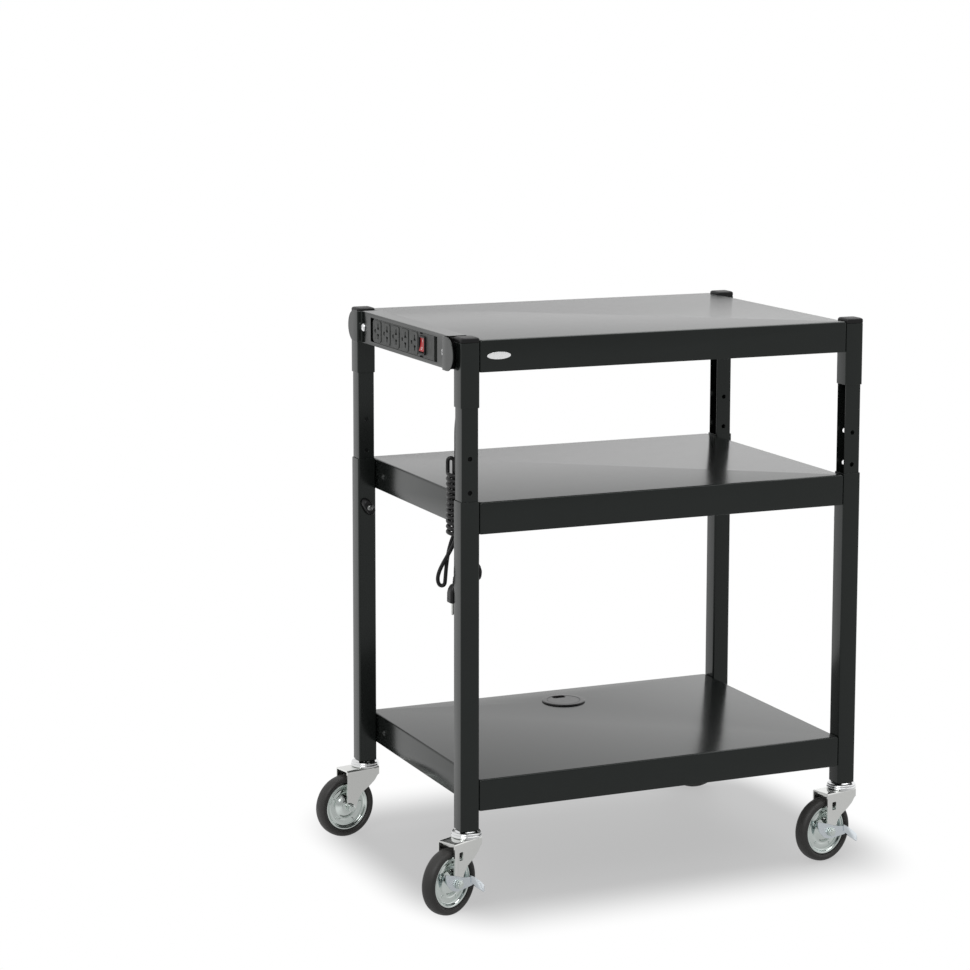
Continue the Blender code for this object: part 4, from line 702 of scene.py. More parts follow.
def makeFasteners():
    # Hexagon bolts that hold the shelves to the legs, and the small screws through the side lips
    bolt = {"radius": 0.003, "head": 0.006, "headHeight": 0.004, "tip": 0.006, "screwFromLeg": 0.034,
            "screwHead": 0.005, "screwHeight": 0.003, "nutHeight": 0.003, "recess": 0.0011}
    lipOutside = innerX - gap
    lipInside = lipOutside - cart["sheet"]
    tip, headEnd = innerX + cart["legWall"] + bolt["tip"], lipInside - bolt["headHeight"]
    face = lipOutside + bolt["screwHeight"]
    head = [(0, headEnd), (bolt["head"] * 0.82, headEnd), (bolt["head"], lipInside - bolt["headHeight"] * 0.8),
            (bolt["head"], lipInside), (0, lipInside)]
    shank = [(0, lipInside - 0.001), (bolt["radius"], lipInside - 0.001), (bolt["radius"], tip - 0.0008),
             (bolt["radius"] * 0.75, tip), (0, tip)]
    nut, radius = lipInside - bolt["nutHeight"], bolt["screwHead"]
    screw = [(0, nut), (radius * 0.9, nut), (radius * 0.9, lipInside), (radius * 0.5, lipInside),
             (radius * 0.5, lipOutside)]
    screw += [(radius * r, lipOutside + bolt["screwHeight"] * a)
              for r, a in ((1.0, 0.0), (1.0, 0.15), (0.93, 0.45), (0.78, 0.75), (0.5, 0.94), (0.2, 1.0))] + [(0, face)]
    for name, top in cart["shelfTops"].items():
        body = "upper_frame" if name == "top" else "lower_frame"
        z = top - cart["lipHeight"] / 2
        bolts, screws, slots = bmesh.new(), bmesh.new(), bmesh.new()
        for sx in (-1, 1):
            for sy in (-1, 1):
                for profile, segments in ((head, 6), (shank, 20)):
                    addTurned([(r, sx * a) for r, a in profile], segments, "X", (0, sy * cart["legY"], z), mesh=bolts)
                y = sy * (cart["innerY"] - bolt["screwFromLeg"])
                addTurned([(r, sx * a) for r, a in screw], 32, "X", (0, y, z), mesh=screws)
                low, high = sorted((sx * (face - bolt["recess"]), sx * (face + 0.001)))
                addPrism(moved(plusOutline(0.0028, 0.0006, radians(15)), y, z), low, high, "X", slots)
        makePiece(name + "ShelfBolts", bolts, "zincPlate", body, soft=[0.00025])
        if name != "top":
            makePiece(name + "LipScrews", screws, "satinPaint", body, cuts=[slots])


def makeGrommet():
    # Round cable grommet: a liner with a rounded flange, and a cap disc with an open slot
    top, wall = cart["shelfTops"]["bottom"], grommet["wall"]
    flange, segments = grommet["flangeRadius"], grommet["segments"]
    outer = grommet["holeRadius"] - gap
    inner = outer - wall
    low, high = top + gap, top + gap + grommet["flangeHeight"]
    ledge, ledgeInner = high - grommet["capThickness"] - gap, inner - grommet["ledge"]
    profile = [(flange, low), (flange, low + 0.0004)]
    profile += arcProfile((flange - 0.0016, low + 0.0006), 0.0016, 0, 90, 6)
    profile += [(inner + 0.0006, high), (inner, high - 0.0005), (inner, ledge), (ledgeInner, ledge),
                (ledgeInner, ledge - wall), (inner, ledge - wall), (inner, low - grommet["depth"]),
                (outer, low - grommet["depth"]), (outer, low)]
    place = Matrix.Translation((grommet["x"], grommet["y"], 0))
    makePiece("grommetLiner", addTurned(profile, segments, "Z", closed=True), "glossPlastic", "lower_frame",
              "grommet_liner", place=place, soft=[0.00025])
    radius, half, corner = inner - gap, grommet["slotWidth"] / 2, 0.004
    start = acos(half / radius)
    angles = [start - (2 * start + pi) * k / segments for k in range(segments + 1)]
    outline = [(radius * cos(angle), radius * sin(angle)) for angle in angles]
    # the slot's inner end is rounded
    for sign, first in ((-1, pi), (1, -pi / 2)):
        outline += [(sign * (half - corner) + corner * cos(first + pi / 2 * k / 6),
                     grommet["slotStart"] + corner + corner * sin(first + pi / 2 * k / 6)) for k in range(7)]
    makePiece("grommetCap", addPrism(outline, ledge + gap, high - 0.0002, "Z"), "glossPlastic", "lower_frame",
              "grommet_cap", place=place, soft=[0.0005, 3])


makePans()
makeFasteners()
makeGrommet()
print("shelves, fasteners and grommet made")


# Lock knobs: three wing knobs on the legs' inner sides, and a round fluted one beside the cord
def makeKnobs():
    knob = {"stud": 0.00325, "depth": 0.012, "hub": 0.008, "reach": 0.0155, "capRadius": 0.005,
            "capHeight": 0.0035, "turn": {"front_right": radians(90), "back_left": radians(60)}, "lockZ": 0.545,
            "roundZ": 0.515, "roundRadius": 0.0125, "roundDepth": 0.0080, "flutes": 18, "flute": 0.0006,
            "threads": 12, "channelWall": 0.002}
    stud, cap, tall = knob["stud"], knob["capRadius"], knob["capHeight"]
    low = cart["legWall"] + gap
    end = low + knob["depth"]
    for corner, (sx, sy) in corners.items():
        if corner == "front_left":
            continue
        # wings grow from a round hub; they are thinner at their tips
        rings = []
        for share, scale in ((0.0, 0.90), (0.06, 0.97), (0.14, 1.0), (0.80, 0.96), (0.92, 0.90), (1.0, 0.78)):
            ring = []
            for angle in circle(72):
                wing = abs(cos(angle)) ** 3
                lobe = (knob["hub"] + (knob["reach"] - knob["hub"]) * wing) * scale
                ring.append((lobe * (1 - 0.12 * share * wing) * cos(angle), -sy * (low + knob["depth"] * share),
                             lobe * sin(angle)))
            rings.append(ring)
        place = (Matrix.Translation((sx * cart["legX"], sy * (cart["innerY"] + cart["legWall"]), knob["lockZ"]))
                 @ Matrix.Rotation(knob["turn"].get(corner, 0), 4, "Y"))
        makePiece("lockKnob_" + corner, addRings(rings), "blackPlastic", "knob_" + corner, "lock_knob_" + corner,
                  place=place, soft=[0.0004, 2, 28])
        profile = [(0, 0), (stud * 0.8, 0), (stud, 0.0006), (stud, end - 0.001), (cap, end - 0.0004),
                   (cap, end + tall * 0.45)]
        profile += arcProfile((cap * 0.35, end + tall * 0.42), cap * 0.62, 15, 90, 6) + [(0, end + tall)]
        makePiece("knobInsert_" + corner, addTurned([(r, -sy * a) for r, a in profile], 32, "Y"), "dullSteel",
                  "knob_" + corner, place=place, soft=[0.0002])

    corner, (sx, sy) = "front_left", corners["front_left"]
    channel = cart["legSize"] - 2 * cart["legWall"] - 2 * gap
    reach = cart["legSize"] / 2 + channel / 2 - knob["channelWall"] - gap
    low = reach + gap
    place = Matrix.Translation((sx * (cart["legX"] + reach - cart["legSize"] / 2), sy * cart["legY"], knob["roundZ"]))
    rings = []
    for share, scale in ((0.0, 0.82), (0.04, 0.90), (0.14, 0.98), (0.28, 1.0), (0.44, 1.0), (0.54, 0.95),
                         (0.60, 0.86), (0.66, 0.70), (0.78, 0.57), (0.91, 0.44), (0.98, 0.28), (1.0, 0.0)):
        flute = knob["flute"] if scale >= 0.85 else 0
        ring = []
        for angle in circle(144) if scale > 0 else [0]:
            radius = (knob["roundRadius"] - flute * (0.5 + 0.5 * cos(knob["flutes"] * angle))) * scale
            ring.append((-sx * (low + knob["roundDepth"] * share), radius * cos(angle), radius * sin(angle)))
        rings.append(ring)
    makePiece("lockKnob_front_left", addRings(rings), "blackPlastic", "knob_front_left", "lock_knob_front_left",
              place=place)
    profile = [(0, 0), (stud * 0.8, 0), (stud, 0.0006)]
    pitch = (low - 0.002) / knob["threads"]
    for k in range(knob["threads"]):
        profile += [(stud * r, 0.001 + pitch * (k + a)) for r, a in ((1, 0.1), (0.88, 0.5), (1, 0.9))]
    profile += [(stud, low + 0.0006), (0, low + 0.0006)]
    makePiece("knobStud_front_left", addTurned([(r, -sx * a) for r, a in profile], 24, "X"), "zincPlate",
              "knob_front_left", place=place)


makeKnobs()
print("lock knobs made")


# Power outlet housing at the left end of the top shelf
housing = {
    "top": 0.865, "bottom": 0.815, "middle": 0.840, "half": 0.1765, "wall": 0.0012, "faceX": -0.341,
    "faceSheet": 0.0015, "earX": -0.3490, "earEnd": 0.217, "windowHalf": 0.1375, "windowHeight": 0.038,
    "stripHalf": 0.1245, "screwY": 0.167, "screwHead": 0.0068, "screwHeight": 0.0042, "screwRadius": 0.0022,
    "screwLength": 0.009, "endLength": 0.0185, "endInset": 0.002, "outlets": 5, "pitch": 0.0383,
    "firstOutlet": 0.0205, "bladeLength": 0.0082, "bladeWidth": 0.0034, "bladeSpacing": 0.0157,
    "groundRadius": 0.0030, "groundOffset": 0.0125, "stripDepth": 0.011, "padProud": 0.0005, "padLength": 0.0335,
    "padHeight": 0.0335, "padRound": 0.005, "switchY": -0.0805, "switchWidth": 0.0245, "rockerWidth": 0.0180,
    "switchHeight": 0.021, "pivotDepth": 0.008, "switchProud": 0.0018, "tilt": radians(7), "openingHalf": 0.01202,
}
faceX, middle = housing["faceX"], housing["middle"]
boxLow, boxHigh, boxHalf = housing["bottom"], housing["top"], housing["half"]
shellX = faceX + housing["faceSheet"] + gap


def makeHousingShell():
    wall = housing["wall"]
    hollow = addBox((shellX - 0.002, wall - boxHalf, boxLow + wall), (-innerX - wall, boxHalf - wall, boxHigh - wall))
    makePiece("housingShell", addBox((shellX, -boxHalf, boxLow), (-innerX, boxHalf, boxHigh)), "satinPaint",
              "upper_frame", "housing_shell", cuts=[hollow], soft=[0.0005, 3])


def makeHousingFace():
    # Bent sheet: flat panel, risers and ears, its ends cut to half discs, with a window and screw holes
    face = {"bend": 0.0022, "foot": 0.0008, "overrun": 0.004, "windowCorner": 0.0012}
    sheet, earX, earEnd = housing["faceSheet"], housing["earX"], housing["earEnd"]
    bend, foot, riser = face["bend"], face["foot"], boxHalf + gap - sheet
    # outer side from the middle of the panel to the ear's end, then back along the inner side
    outline = arcProfile((faceX - bend, riser - bend), bend, 0, 90, 5)
    outline += arcProfile((earX + bend, riser + bend), bend, 270, 180, 5) + [(earX, earEnd), (earX + sheet, earEnd)]
    outline += arcProfile((earX + sheet + foot, riser + sheet + foot), foot, 180, 270, 5)
    outline += arcProfile((faceX - bend, riser - bend), bend + sheet, 90, 0, 5)
    outline += [(x, -y) for x, y in reversed(outline)]
    radius, near, far = (boxHigh - boxLow) / 2, faceX - face["overrun"], faceX + sheet + face["overrun"]
    stadium = [(sign * (earEnd - radius + radius * cos(angle)), middle + sign * radius * sin(angle))
               for sign in (1, -1) for angle in [pi * (k / 32 - 0.5) for k in range(33)]]
    window = roundedOutline(2 * housing["windowHalf"], housing["windowHeight"], face["windowCorner"], 4)
    cuts = [(addPrism(stadium, earX - face["overrun"], far, "X"), "INTERSECT"),
            addPrism(moved(window, 0, middle), near, far, "X"),
            rodMesh("X", housing["screwRadius"] + gap, near, far,
                    [(0, sy * housing["screwY"], middle) for sy in (-1, 1)])]
    makePiece("housingFace", addPrism(outline, boxLow, boxHigh, "Z"), "satinPaint", "upper_frame", "housing_face",
              cuts=cuts, soft=[0.00045, 3])


def makeHousingEnds():
    end = {"grooves": 4, "firstGroove": 0.25, "grooveStep": 0.17, "grooveHalf": 0.0006, "grooveDepth": 0.001}
    inset, deep = housing["endInset"], end["grooveDepth"]
    for name, sy in (("front", -1), ("back", 1)):
        low, high = sorted((sy * (boxHalf + 2 * gap), sy * (boxHalf + housing["endLength"])))
        grooves = bmesh.new()
        for k in range(end["grooves"]):
            y = sy * (boxHalf + housing["endLength"] * (end["firstGroove"] + end["grooveStep"] * k))
            addBox((shellX + inset - deep, y - end["grooveHalf"], boxLow),
                   (shellX + inset + deep, y + end["grooveHalf"], boxHigh), grooves)
        block = addBox((shellX + inset, low, boxLow + inset), (-innerX - inset / 2, high, boxHigh - inset))
        # painted shade: the end blocks take the near-black shade finish, so that the gaps beside the ears look as dark
        # as shade
        makePiece("housingEnd_" + name, block, "paintedShadeBlack", "upper_frame", "housing_end_" + name,
                  slot="black_plastic", cuts=[grooves], soft=[0.0008, 3])


def makeHousingScrews():
    face, head, height, radius = faceX - gap, housing["screwHead"], housing["screwHeight"], housing["screwRadius"]
    tip = face + housing["screwLength"]
    profile = [(0, face - height)]
    profile += [(head * sin(radians(a)), face - height * (0.12 + 0.88 * cos(radians(a))))
                for a in (8, 18, 30, 42, 54, 66, 78, 88)]
    profile += [(head, face - height * 0.05), (head * 0.97, face), (radius, face), (radius, tip - 0.001),
                (radius * 0.5, tip), (0, tip)]
    for name, sy in (("front", -1), ("back", 1)):
        recess = addPrism(plusOutline(0.0026, 0.00055, radians(20)), face - height - 0.001, face - height * 0.6, "X")
        makePiece("housingScrew_" + name, addTurned(profile, 48, "X"), "chrome", "upper_frame",
                  "housing_screw_" + name, place=Matrix.Translation((0, sy * housing["screwY"], middle)),
                  cuts=[recess], soft=[0.00012])


def makeOutletStrip():
    # Moulded strip with five raised outlet faces and a switch opening
    strip = {"recess": 0.0006, "rim": 0.003, "cutFront": 0.003, "cutBack": 0.002, "padDepth": 0.004, "longer": 0.0012,
             "coverFrom": 0.0004, "coverTo": 0.0024, "coverEnds": 0.004, "coverEdges": 0.003, "bezelWide": 0.0012,
             "bezelTall": 0.0016, "clipWide": 0.008, "clipTall": 0.0018, "clipCorner": 0.0007, "clipAside": 0.006,
             "clipInset": 0.0012, "clipFront": 0.0006, "clipBack": 0.002}
    half, tall = housing["stripHalf"], housing["windowHeight"] / 2 - gap
    back, rim, switchY = faceX + housing["stripDepth"], strip["rim"], housing["switchY"]
    outline = [(faceX + strip["recess"], tall), (shellX, tall), (shellX, tall + rim), (shellX + rim, tall + rim),
               (shellX + rim, tall), (back, tall)]
    outline += [(u, -v) for u, v in reversed(outline)]
    pads, slots = bmesh.new(), bmesh.new()
    cutFront, cutBack = faceX - strip["cutFront"], back + strip["cutBack"]
    pad = roundedOutline(housing["padLength"], housing["padHeight"], housing["padRound"], 6)
    radius, slot, foot = housing["groundRadius"], housing["bladeWidth"] / 2, housing["bladeWidth"] * 0.95
    for k in range(housing["outlets"]):
        y = half - housing["firstOutlet"] - housing["pitch"] * k
        addPrism(moved(pad, y + housing["groundOffset"] * 0.42, middle), faceX - housing["padProud"],
                 faceX + strip["padDepth"], "X", pads)
        for sign in (-1, 1):  # T-shaped slots, the upper one a little longer
            z = middle + sign * housing["bladeSpacing"] / 2
            long = (housing["bladeLength"] + (strip["longer"] if sign > 0 else 0)) / 2
            side = [(-slot, long), (-slot, foot - long), (-foot * 1.15, foot - long), (-foot * 1.15, -long)]
            tee = side + [(-u, v) for u, v in reversed(side)]
            addPrism([(y + u, z + sign * v) for u, v in tee], cutFront, cutBack, "X", slots)
        y += housing["groundOffset"]
        hole = [(y + radius * sin(pi * s / 12), middle - radius * cos(pi * s / 12)) for s in range(13)]
        hole += [(y - radius * 0.9, middle + radius), (y - radius * 0.9, middle - radius)]
        addPrism(hole, cutFront, cutBack, "X", slots)
    width, opening = housing["switchWidth"] / 2 + gap, housing["openingHalf"]
    addBox((cutFront, switchY - width, middle - opening), (cutBack, switchY + width, middle + opening), slots)
    makePiece("outletStrip", addPrism(moved(outline, 0, middle), -half, half, "Y"), "outletPlastic", "upper_frame",
              "outlet_strip", cuts=[(pads, "UNION"), slots], soft=[0.0003])

    # a cover shuts the back of the slots, so that no light comes through; its near-black, dull finish is painted shade,
    # so that the slots look dark
    ends, edges = half - strip["coverEnds"], tall - strip["coverEdges"]
    cover = addBox((back + strip["coverFrom"], -ends, middle - edges), (back + strip["coverTo"], ends, middle + edges))
    makePiece("stripBackShadeCover", cover, "paintedShadeBlack", "upper_frame", soft=[0.0003])

    # bezel round the switch, and a small retaining clip above and below
    wide, high = housing["rockerWidth"] + strip["bezelWide"], housing["switchHeight"] + strip["bezelTall"]
    rings = []
    for grow, x in ((0.0058, 0.0006), (0.0058, -0.0017), (0.0050, -0.0024), (0.0012, -0.0024), (0.0, -0.0016),
                    (0.0, 0.004), (0.0058, 0.004)):
        line = roundedOutline(wide + grow * 0.62, high + grow, 0.0008 + grow * 0.2, 5)
        rings.append([(faceX + x, u, v) for u, v in moved(line, switchY, middle)])
    makePiece("switchBezel", addRings(rings, closed=True), "blackPlastic", "upper_frame", soft=[0.0003, 3])
    clips = bmesh.new()
    clip = roundedOutline(strip["clipWide"], strip["clipTall"], strip["clipCorner"], 4)
    for sign in (-1, 1):
        outline = moved(clip, switchY + strip["clipAside"], middle + sign * (tall - strip["clipInset"]))
        addPrism(outline, faceX - strip["clipFront"], faceX + strip["clipBack"], "X", clips)
    makePiece("stripClips", clips, "paintedShadeBlack", "upper_frame", soft=[0.0002])


def makeRocker():
    # Concave red rocker, tilted as stored, with the generic bar and ring marks
    mark = {"barZ": 0.0058, "ringZ": -0.0058, "depth": 0.0005, "lift": 0.0002}
    width, height, deep = housing["rockerWidth"], housing["switchHeight"], housing["pivotDepth"]
    proud, lift, thin = housing["switchProud"], mark["lift"], mark["depth"]

    def faceAt(z):
        share = z / (height / 2)
        return proud * 0.85 * (1 - share * share) - deep - proud

    outline = [(faceAt(z), z) for z in [height * (k / 16 - 0.5) for k in range(17)]]
    outline += [(-deep / 4, height / 2.4), (-deep / 4, -height / 2.4)]
    place = (Matrix.Translation((faceX + deep, housing["switchY"], middle))
             @ Matrix.Rotation(housing["tilt"], 4, "Y"))
    makePiece("rockerSwitch", addPrism(outline, -width / 2, width / 2, "Y"), "redRocker", "switch", "rocker_switch",
              place=place, soft=[0.0006, 3])
    bar = moved(roundedOutline(0.0011, 0.0046, 0.0004, 3), 0, mark["barZ"])
    marks = addRings([[(faceAt(v) + out, u, v) for u, v in bar] for out in (-lift, thin)])
    rings = []
    for radius, out in ((0.0024, thin), (0.0024, -lift), (0.0016, -lift), (0.0016, thin)):
        line = [(radius * cos(angle), mark["ringZ"] + radius * sin(angle)) for angle in circle(32)]
        rings.append([(faceAt(v) + out, u, v) for u, v in line])
    makePiece("rockerMarks", addRings(rings, True, marks), "markWhite", "switch", place=place)


def makeBadge():
    # Bare oval plate with a raised rim and a shallow dish
    badge = {"x": -0.280, "z": 0.839, "halfLength": 0.019, "halfHeight": 0.0055, "thickness": 0.0008, "rim": 0.0009}
    back, rim = -cart["halfDepth"] - gap, badge["rim"]
    rings = []
    for inset, deep in ((0, badge["thickness"]), (0, 0.0003), (0.0003, 0), (rim, 0), (rim + 0.0003, 0.0003),
                        (0.003, 0.00022), (0.0045, 0.00016)):
        rings.append([((badge["halfLength"] - inset) * cos(angle), back - badge["thickness"] + deep,
                       (badge["halfHeight"] - inset) * sin(angle)) for angle in circle(80)])
    makePiece("badgePlate", addRings(rings), "badgeMetal", "upper_frame", "badge_plate",
              place=Matrix.Translation((badge["x"], 0, badge["z"])))


makeHousingShell()
makeHousingFace()
makeHousingEnds()
makeHousingScrews()
makeOutletStrip()
makeRocker()
makeBadge()
print("outlet housing, switch and badge made")


# Casters: all four share one set of shapes; the front two have brake levers
caster = {
    "trailAngles": {"front_left": radians(205.5), "front_right": radians(193.0), "back_left": radians(191.5),
                    "back_right": radians(150.0)},
    "braked": ("front_left", "front_right"), "trail": 0.040, "wheelRadius": 0.0508, "tyreHalf": 0.012,
    "rimRadius": 0.0392, "hubRadius": 0.0072, "axleRadius": 0.004, "forkHalf": 0.01725, "forkSheet": 0.0025,
    "forkTop": 0.112, "rear": 0.045, "frontRadius": 0.0235, "skirt": 0.012, "behindAxle": 0.005,
    "beforeAxle": 0.012, "belowAxle": 0.0085, "raceRadius": 0.0235, "nutRadius": 0.0072, "nutHeight": 0.007,
    "segments": 96, "ribProud": 0.0007, "leverRoom": 0.0023,
}
axleSpot = (caster["trail"], 0, caster["wheelRadius"])


def smooth(share):
    share = min(1, max(0, share))
    return share * share * (3 - 2 * share)


def roundCorners(outline, radius, steps):
    # Each corner of a flat outline is replaced by a short curve
    found = []
    for k in range(len(outline)):
        before, here, after = (Vector(outline[(k + d) % len(outline)]) for d in (-1, 0, 1))
        toBefore, toAfter = before - here, after - here
        reach = min(radius, toBefore.length * 0.45, toAfter.length * 0.45)
        start, end = here + toBefore.normalized() * reach, here + toAfter.normalized() * reach
        for t in [s / steps for s in range(steps + 1)]:
            found.append(tuple(start * (1 - t) ** 2 + here * 2 * t * (1 - t) + end * t * t))
    return found


def makeForkMesh(braked):
    # One bent sheet: top plate, side walls that taper to the axle, and a skirt round the front.
    # The walls are swept along the plate's outline, each point down to its own lower edge.
    fork = {"bend": 0.0030, "wallSteps": 14, "bendSteps": 5, "skirtSteps": 20, "ribFromRear": 0.0048,
            "ribHalf": 0.0030, "ribEnd": 0.010, "ribRun": 0.006}
    half, radius, top, bend = caster["forkHalf"], caster["frontRadius"], caster["forkTop"], fork["bend"]
    rear, axle, axleZ = caster["rear"], caster["trail"], caster["wheelRadius"]
    reachAngle = asin(half / radius)
    frontX = radius * cos(pi - reachAngle)
    waist, high = axle - caster["beforeAxle"], top - bend
    legHigh = top - caster["forkSheet"] / 2 - axleZ
    edge = [(0.0, 1.0 - caster["skirt"] / legHigh), (0.06, 0.78), (0.18, 0.65), (0.40, 0.52), (0.75, 0.36),
            (0.92, 0.20), (1.0, 0.0)]

    def lowerEdge(x):
        if x > waist:
            side = (axle - x) / caster["beforeAxle"] if x < axle else (x - axle) / caster["behindAxle"]
            return axleZ - caster["belowAxle"] * sqrt(max(0, 1 - side ** 2))
        share = (x - frontX) / (waist - frontX)
        for (a0, b0), (a1, b1) in zip(edge, edge[1:]):
            if share <= a1:
                return axleZ + legHigh * (b0 + (b1 - b0) * max(0, share - a0) / (a1 - a0))
        return axleZ

    xs = [rear - back for back in (0, 0.0002, 0.0006, 0.0012, 0.002, 0.003)] + [axle + 0.001]
    xs += [axle - caster["beforeAxle"] * t for t in (0.1, 0.25, 0.4, 0.55, 0.7, 0.8, 0.88, 0.94, 0.98, 0.998)]
    xs += [waist - (waist - frontX) * k / 24 for k in range(1, 25)]
    line = [(x, -half, 0, -1, lowerEdge(x)) for x in xs]  # (x, y, normal x, normal y, lower z)
    for k in range(1, fork["skirtSteps"]):
        angle = pi + reachAngle - 2 * reachAngle * k / fork["skirtSteps"]
        line.append((radius * cos(angle), radius * sin(angle), cos(angle), sin(angle), lowerEdge(frontX)))
    line += [(x, -y, nx, -ny, z) for x, y, nx, ny, z in reversed(line[:len(xs)])]
    mesh = bmesh.new()
    rows = []
    for x, y, nx, ny, low in line:
        row = []
        for z in [low + (high - low) * k / fork["wallSteps"] for k in range(fork["wallSteps"] + 1)]:
            out = 0.0
            if braked:  # upright stiffening rib near the open edge of each wall
                across = 1 - smooth(abs(x - rear + fork["ribFromRear"]) / fork["ribHalf"])
                along = smooth((z - axleZ - fork["ribEnd"]) / fork["ribRun"])
                along *= smooth((top - fork["ribEnd"] - z) / fork["ribRun"])
                out = caster["ribProud"] * across * along * (abs(ny) > 0.9)
            row.append((x + nx * out, y + ny * out, z))
        for k in range(1, fork["bendSteps"] + 1):
            angle = pi / 2 * k / fork["bendSteps"]
            inset = bend * (1 - cos(angle))
            row.append((x - nx * inset, y - ny * inset, high + bend * sin(angle)))
        rows.append([mesh.verts.new(point) for point in row])
    for first, second in zip(rows, rows[1:]):
        for k in range(len(first) - 1):
            mesh.faces.new((first[k], second[k], second[k + 1], first[k + 1]))
    # the flat plate joins the two upper edges, with one triangle at the front
    tops, count = [row[-1] for row in rows], len(rows) // 2
    for k in range(count - 1):
        mesh.faces.new((tops[k], tops[k + 1], tops[-2 - k], tops[-1 - k]))
    mesh.faces.new(tops[count - 1:count + 2])
    return mesh


def makeFork(corner, place):
    window = {"x": 0.0308, "z": 0.0905, "wide": 0.0082, "tall": 0.0128, "corner": 0.0014, "near": 0.012, "far": 0.021}
    boreReach = 0.03
    braked = corner in caster["braked"]
    fork = makeObject("casterFork_" + corner, makeForkMesh(braked))
    if max(fork.data.polygons, key=lambda face: face.center.z).normal.z < 0:
        fork.data.flip_normals()  # normals face out, so the sheet grows inwards
    change(fork, "SOLIDIFY", thickness=caster["forkSheet"], offset=-1, use_even_offset=True)
    holes = rodMesh("Y", caster["axleRadius"] + gap, -boreReach, boreReach, [axleSpot])
    if braked:  # the small window beside the rib
        outline = moved(roundedOutline(window["wide"], window["tall"], window["corner"], 3), window["x"], window["z"])
        for sign in (-1, 1):
            low, high = sorted((sign * window["near"], sign * window["far"]))
            addPrism(outline, low, high, "Y", holes)
    cutAway(fork, holes)
    softenEdges(fork, 0.0004, 2, 40)
    finishPiece(fork, "brightNickel", "swivel_" + corner, "caster_fork_" + corner, place=place)


def makeSwivelHead(corner, place):
    # Stacked rings of the swivel's ball race, fixed to the leg, with the kingpin's head under the plate
    legEnd, race = cart["legBottom"], caster["raceRadius"]
    low, high = caster["forkTop"] + gap, legEnd - gap
    tall, plate = high - low, caster["forkTop"] - caster["forkSheet"] - gap
    profile = [(0, legEnd + 0.0015), (0.0105, legEnd + 0.0015), (0.0105, high), (race * 0.66, high),
               (race * 0.72, high - 0.0006), (race * 0.80, high - 0.0026)]
    profile += arcProfile((race * 0.86, high - tall * 0.46), race * 0.10, 75, -60, 8)
    profile += [(race * 0.84, low + tall * 0.34)]
    profile += arcProfile((race * 0.90, low + tall * 0.20), race * 0.10, 70, -50, 8)
    profile += [(race * 0.84, low), (0.005, low), (0.005, plate), (0.0078, plate - 0.0004), (0.0080, plate - 0.0012),
                (0.0062, plate - 0.0026), (0, plate - 0.0030)]
    makePiece("swivelHead_" + corner, addTurned(profile, caster["segments"], "Z"), "chrome", "lower_frame",
              "caster_stem_" + corner, place=place, soft=[0.0002, 2, 50])
    side = cart["legSize"] - 2 * cart["legWall"] - 2 * gap
    sections = [(side - 0.001, legEnd + 0.0005), (side, legEnd + 0.0012), (side, legEnd + 0.029),
                (side - 0.002, legEnd + 0.030)]
    makePiece("stemInsert_" + corner, addRings(squareRings(sections, lambda width: 0.0015, 4)), "blackPlastic",
              "lower_frame", place=place, soft=[0.0003])


def makeAxle(corner, place):
    # Hexagon bolt head on one side; washer, nut and thread end on the other
    bolt = {"headShare": 0.72, "nutShare": 0.66, "washer": 0.0010, "start": 0.0009, "chamfer": 0.0005, "threads": 3}
    radius, tall, nut, start = caster["axleRadius"], caster["nutHeight"], caster["nutRadius"], bolt["start"]
    far = -(caster["forkHalf"] + gap)
    near = (caster["leverRoom"] if corner in caster["braked"] else 0.0) - far  # the lever lies under the washer
    washer = [(0, 0), (1, 0), (1, bolt["washer"]), (0, bolt["washer"])]
    mesh = bmesh.new()
    for face, sign, deep in ((near, 1, tall * bolt["headShare"]), (far, -1, tall * bolt["nutShare"])):
        hexagon = [(0, start), (0.93, start), (0.96, start + bolt["chamfer"]), (0.96, deep), (0.80, deep + start),
                   (0, deep + start)]
        for segments, shape in ((48, washer), (6, hexagon)):
            addTurned([(nut * r, face + sign * a) for r, a in shape], segments, "Y", axleSpot, mesh=mesh)
    shank = [(0, far), (radius, far), (radius, near + tall * bolt["headShare"])]
    for k in range(bolt["threads"]):
        z = near + tall * (0.74 + 0.07 * k)
        shank += [(radius * 0.86, z), (radius, z + tall * 0.035)]
    shank += [(radius * 0.8, near + tall * 0.98), (0, near + tall)]
    addTurned(shank, 32, "Y", axleSpot, mesh=mesh)
    makePiece("axleBolt_" + corner, mesh, "zincPlate", "swivel_" + corner, "axle_bolt_" + corner, place=place,
              soft=[0.00025])


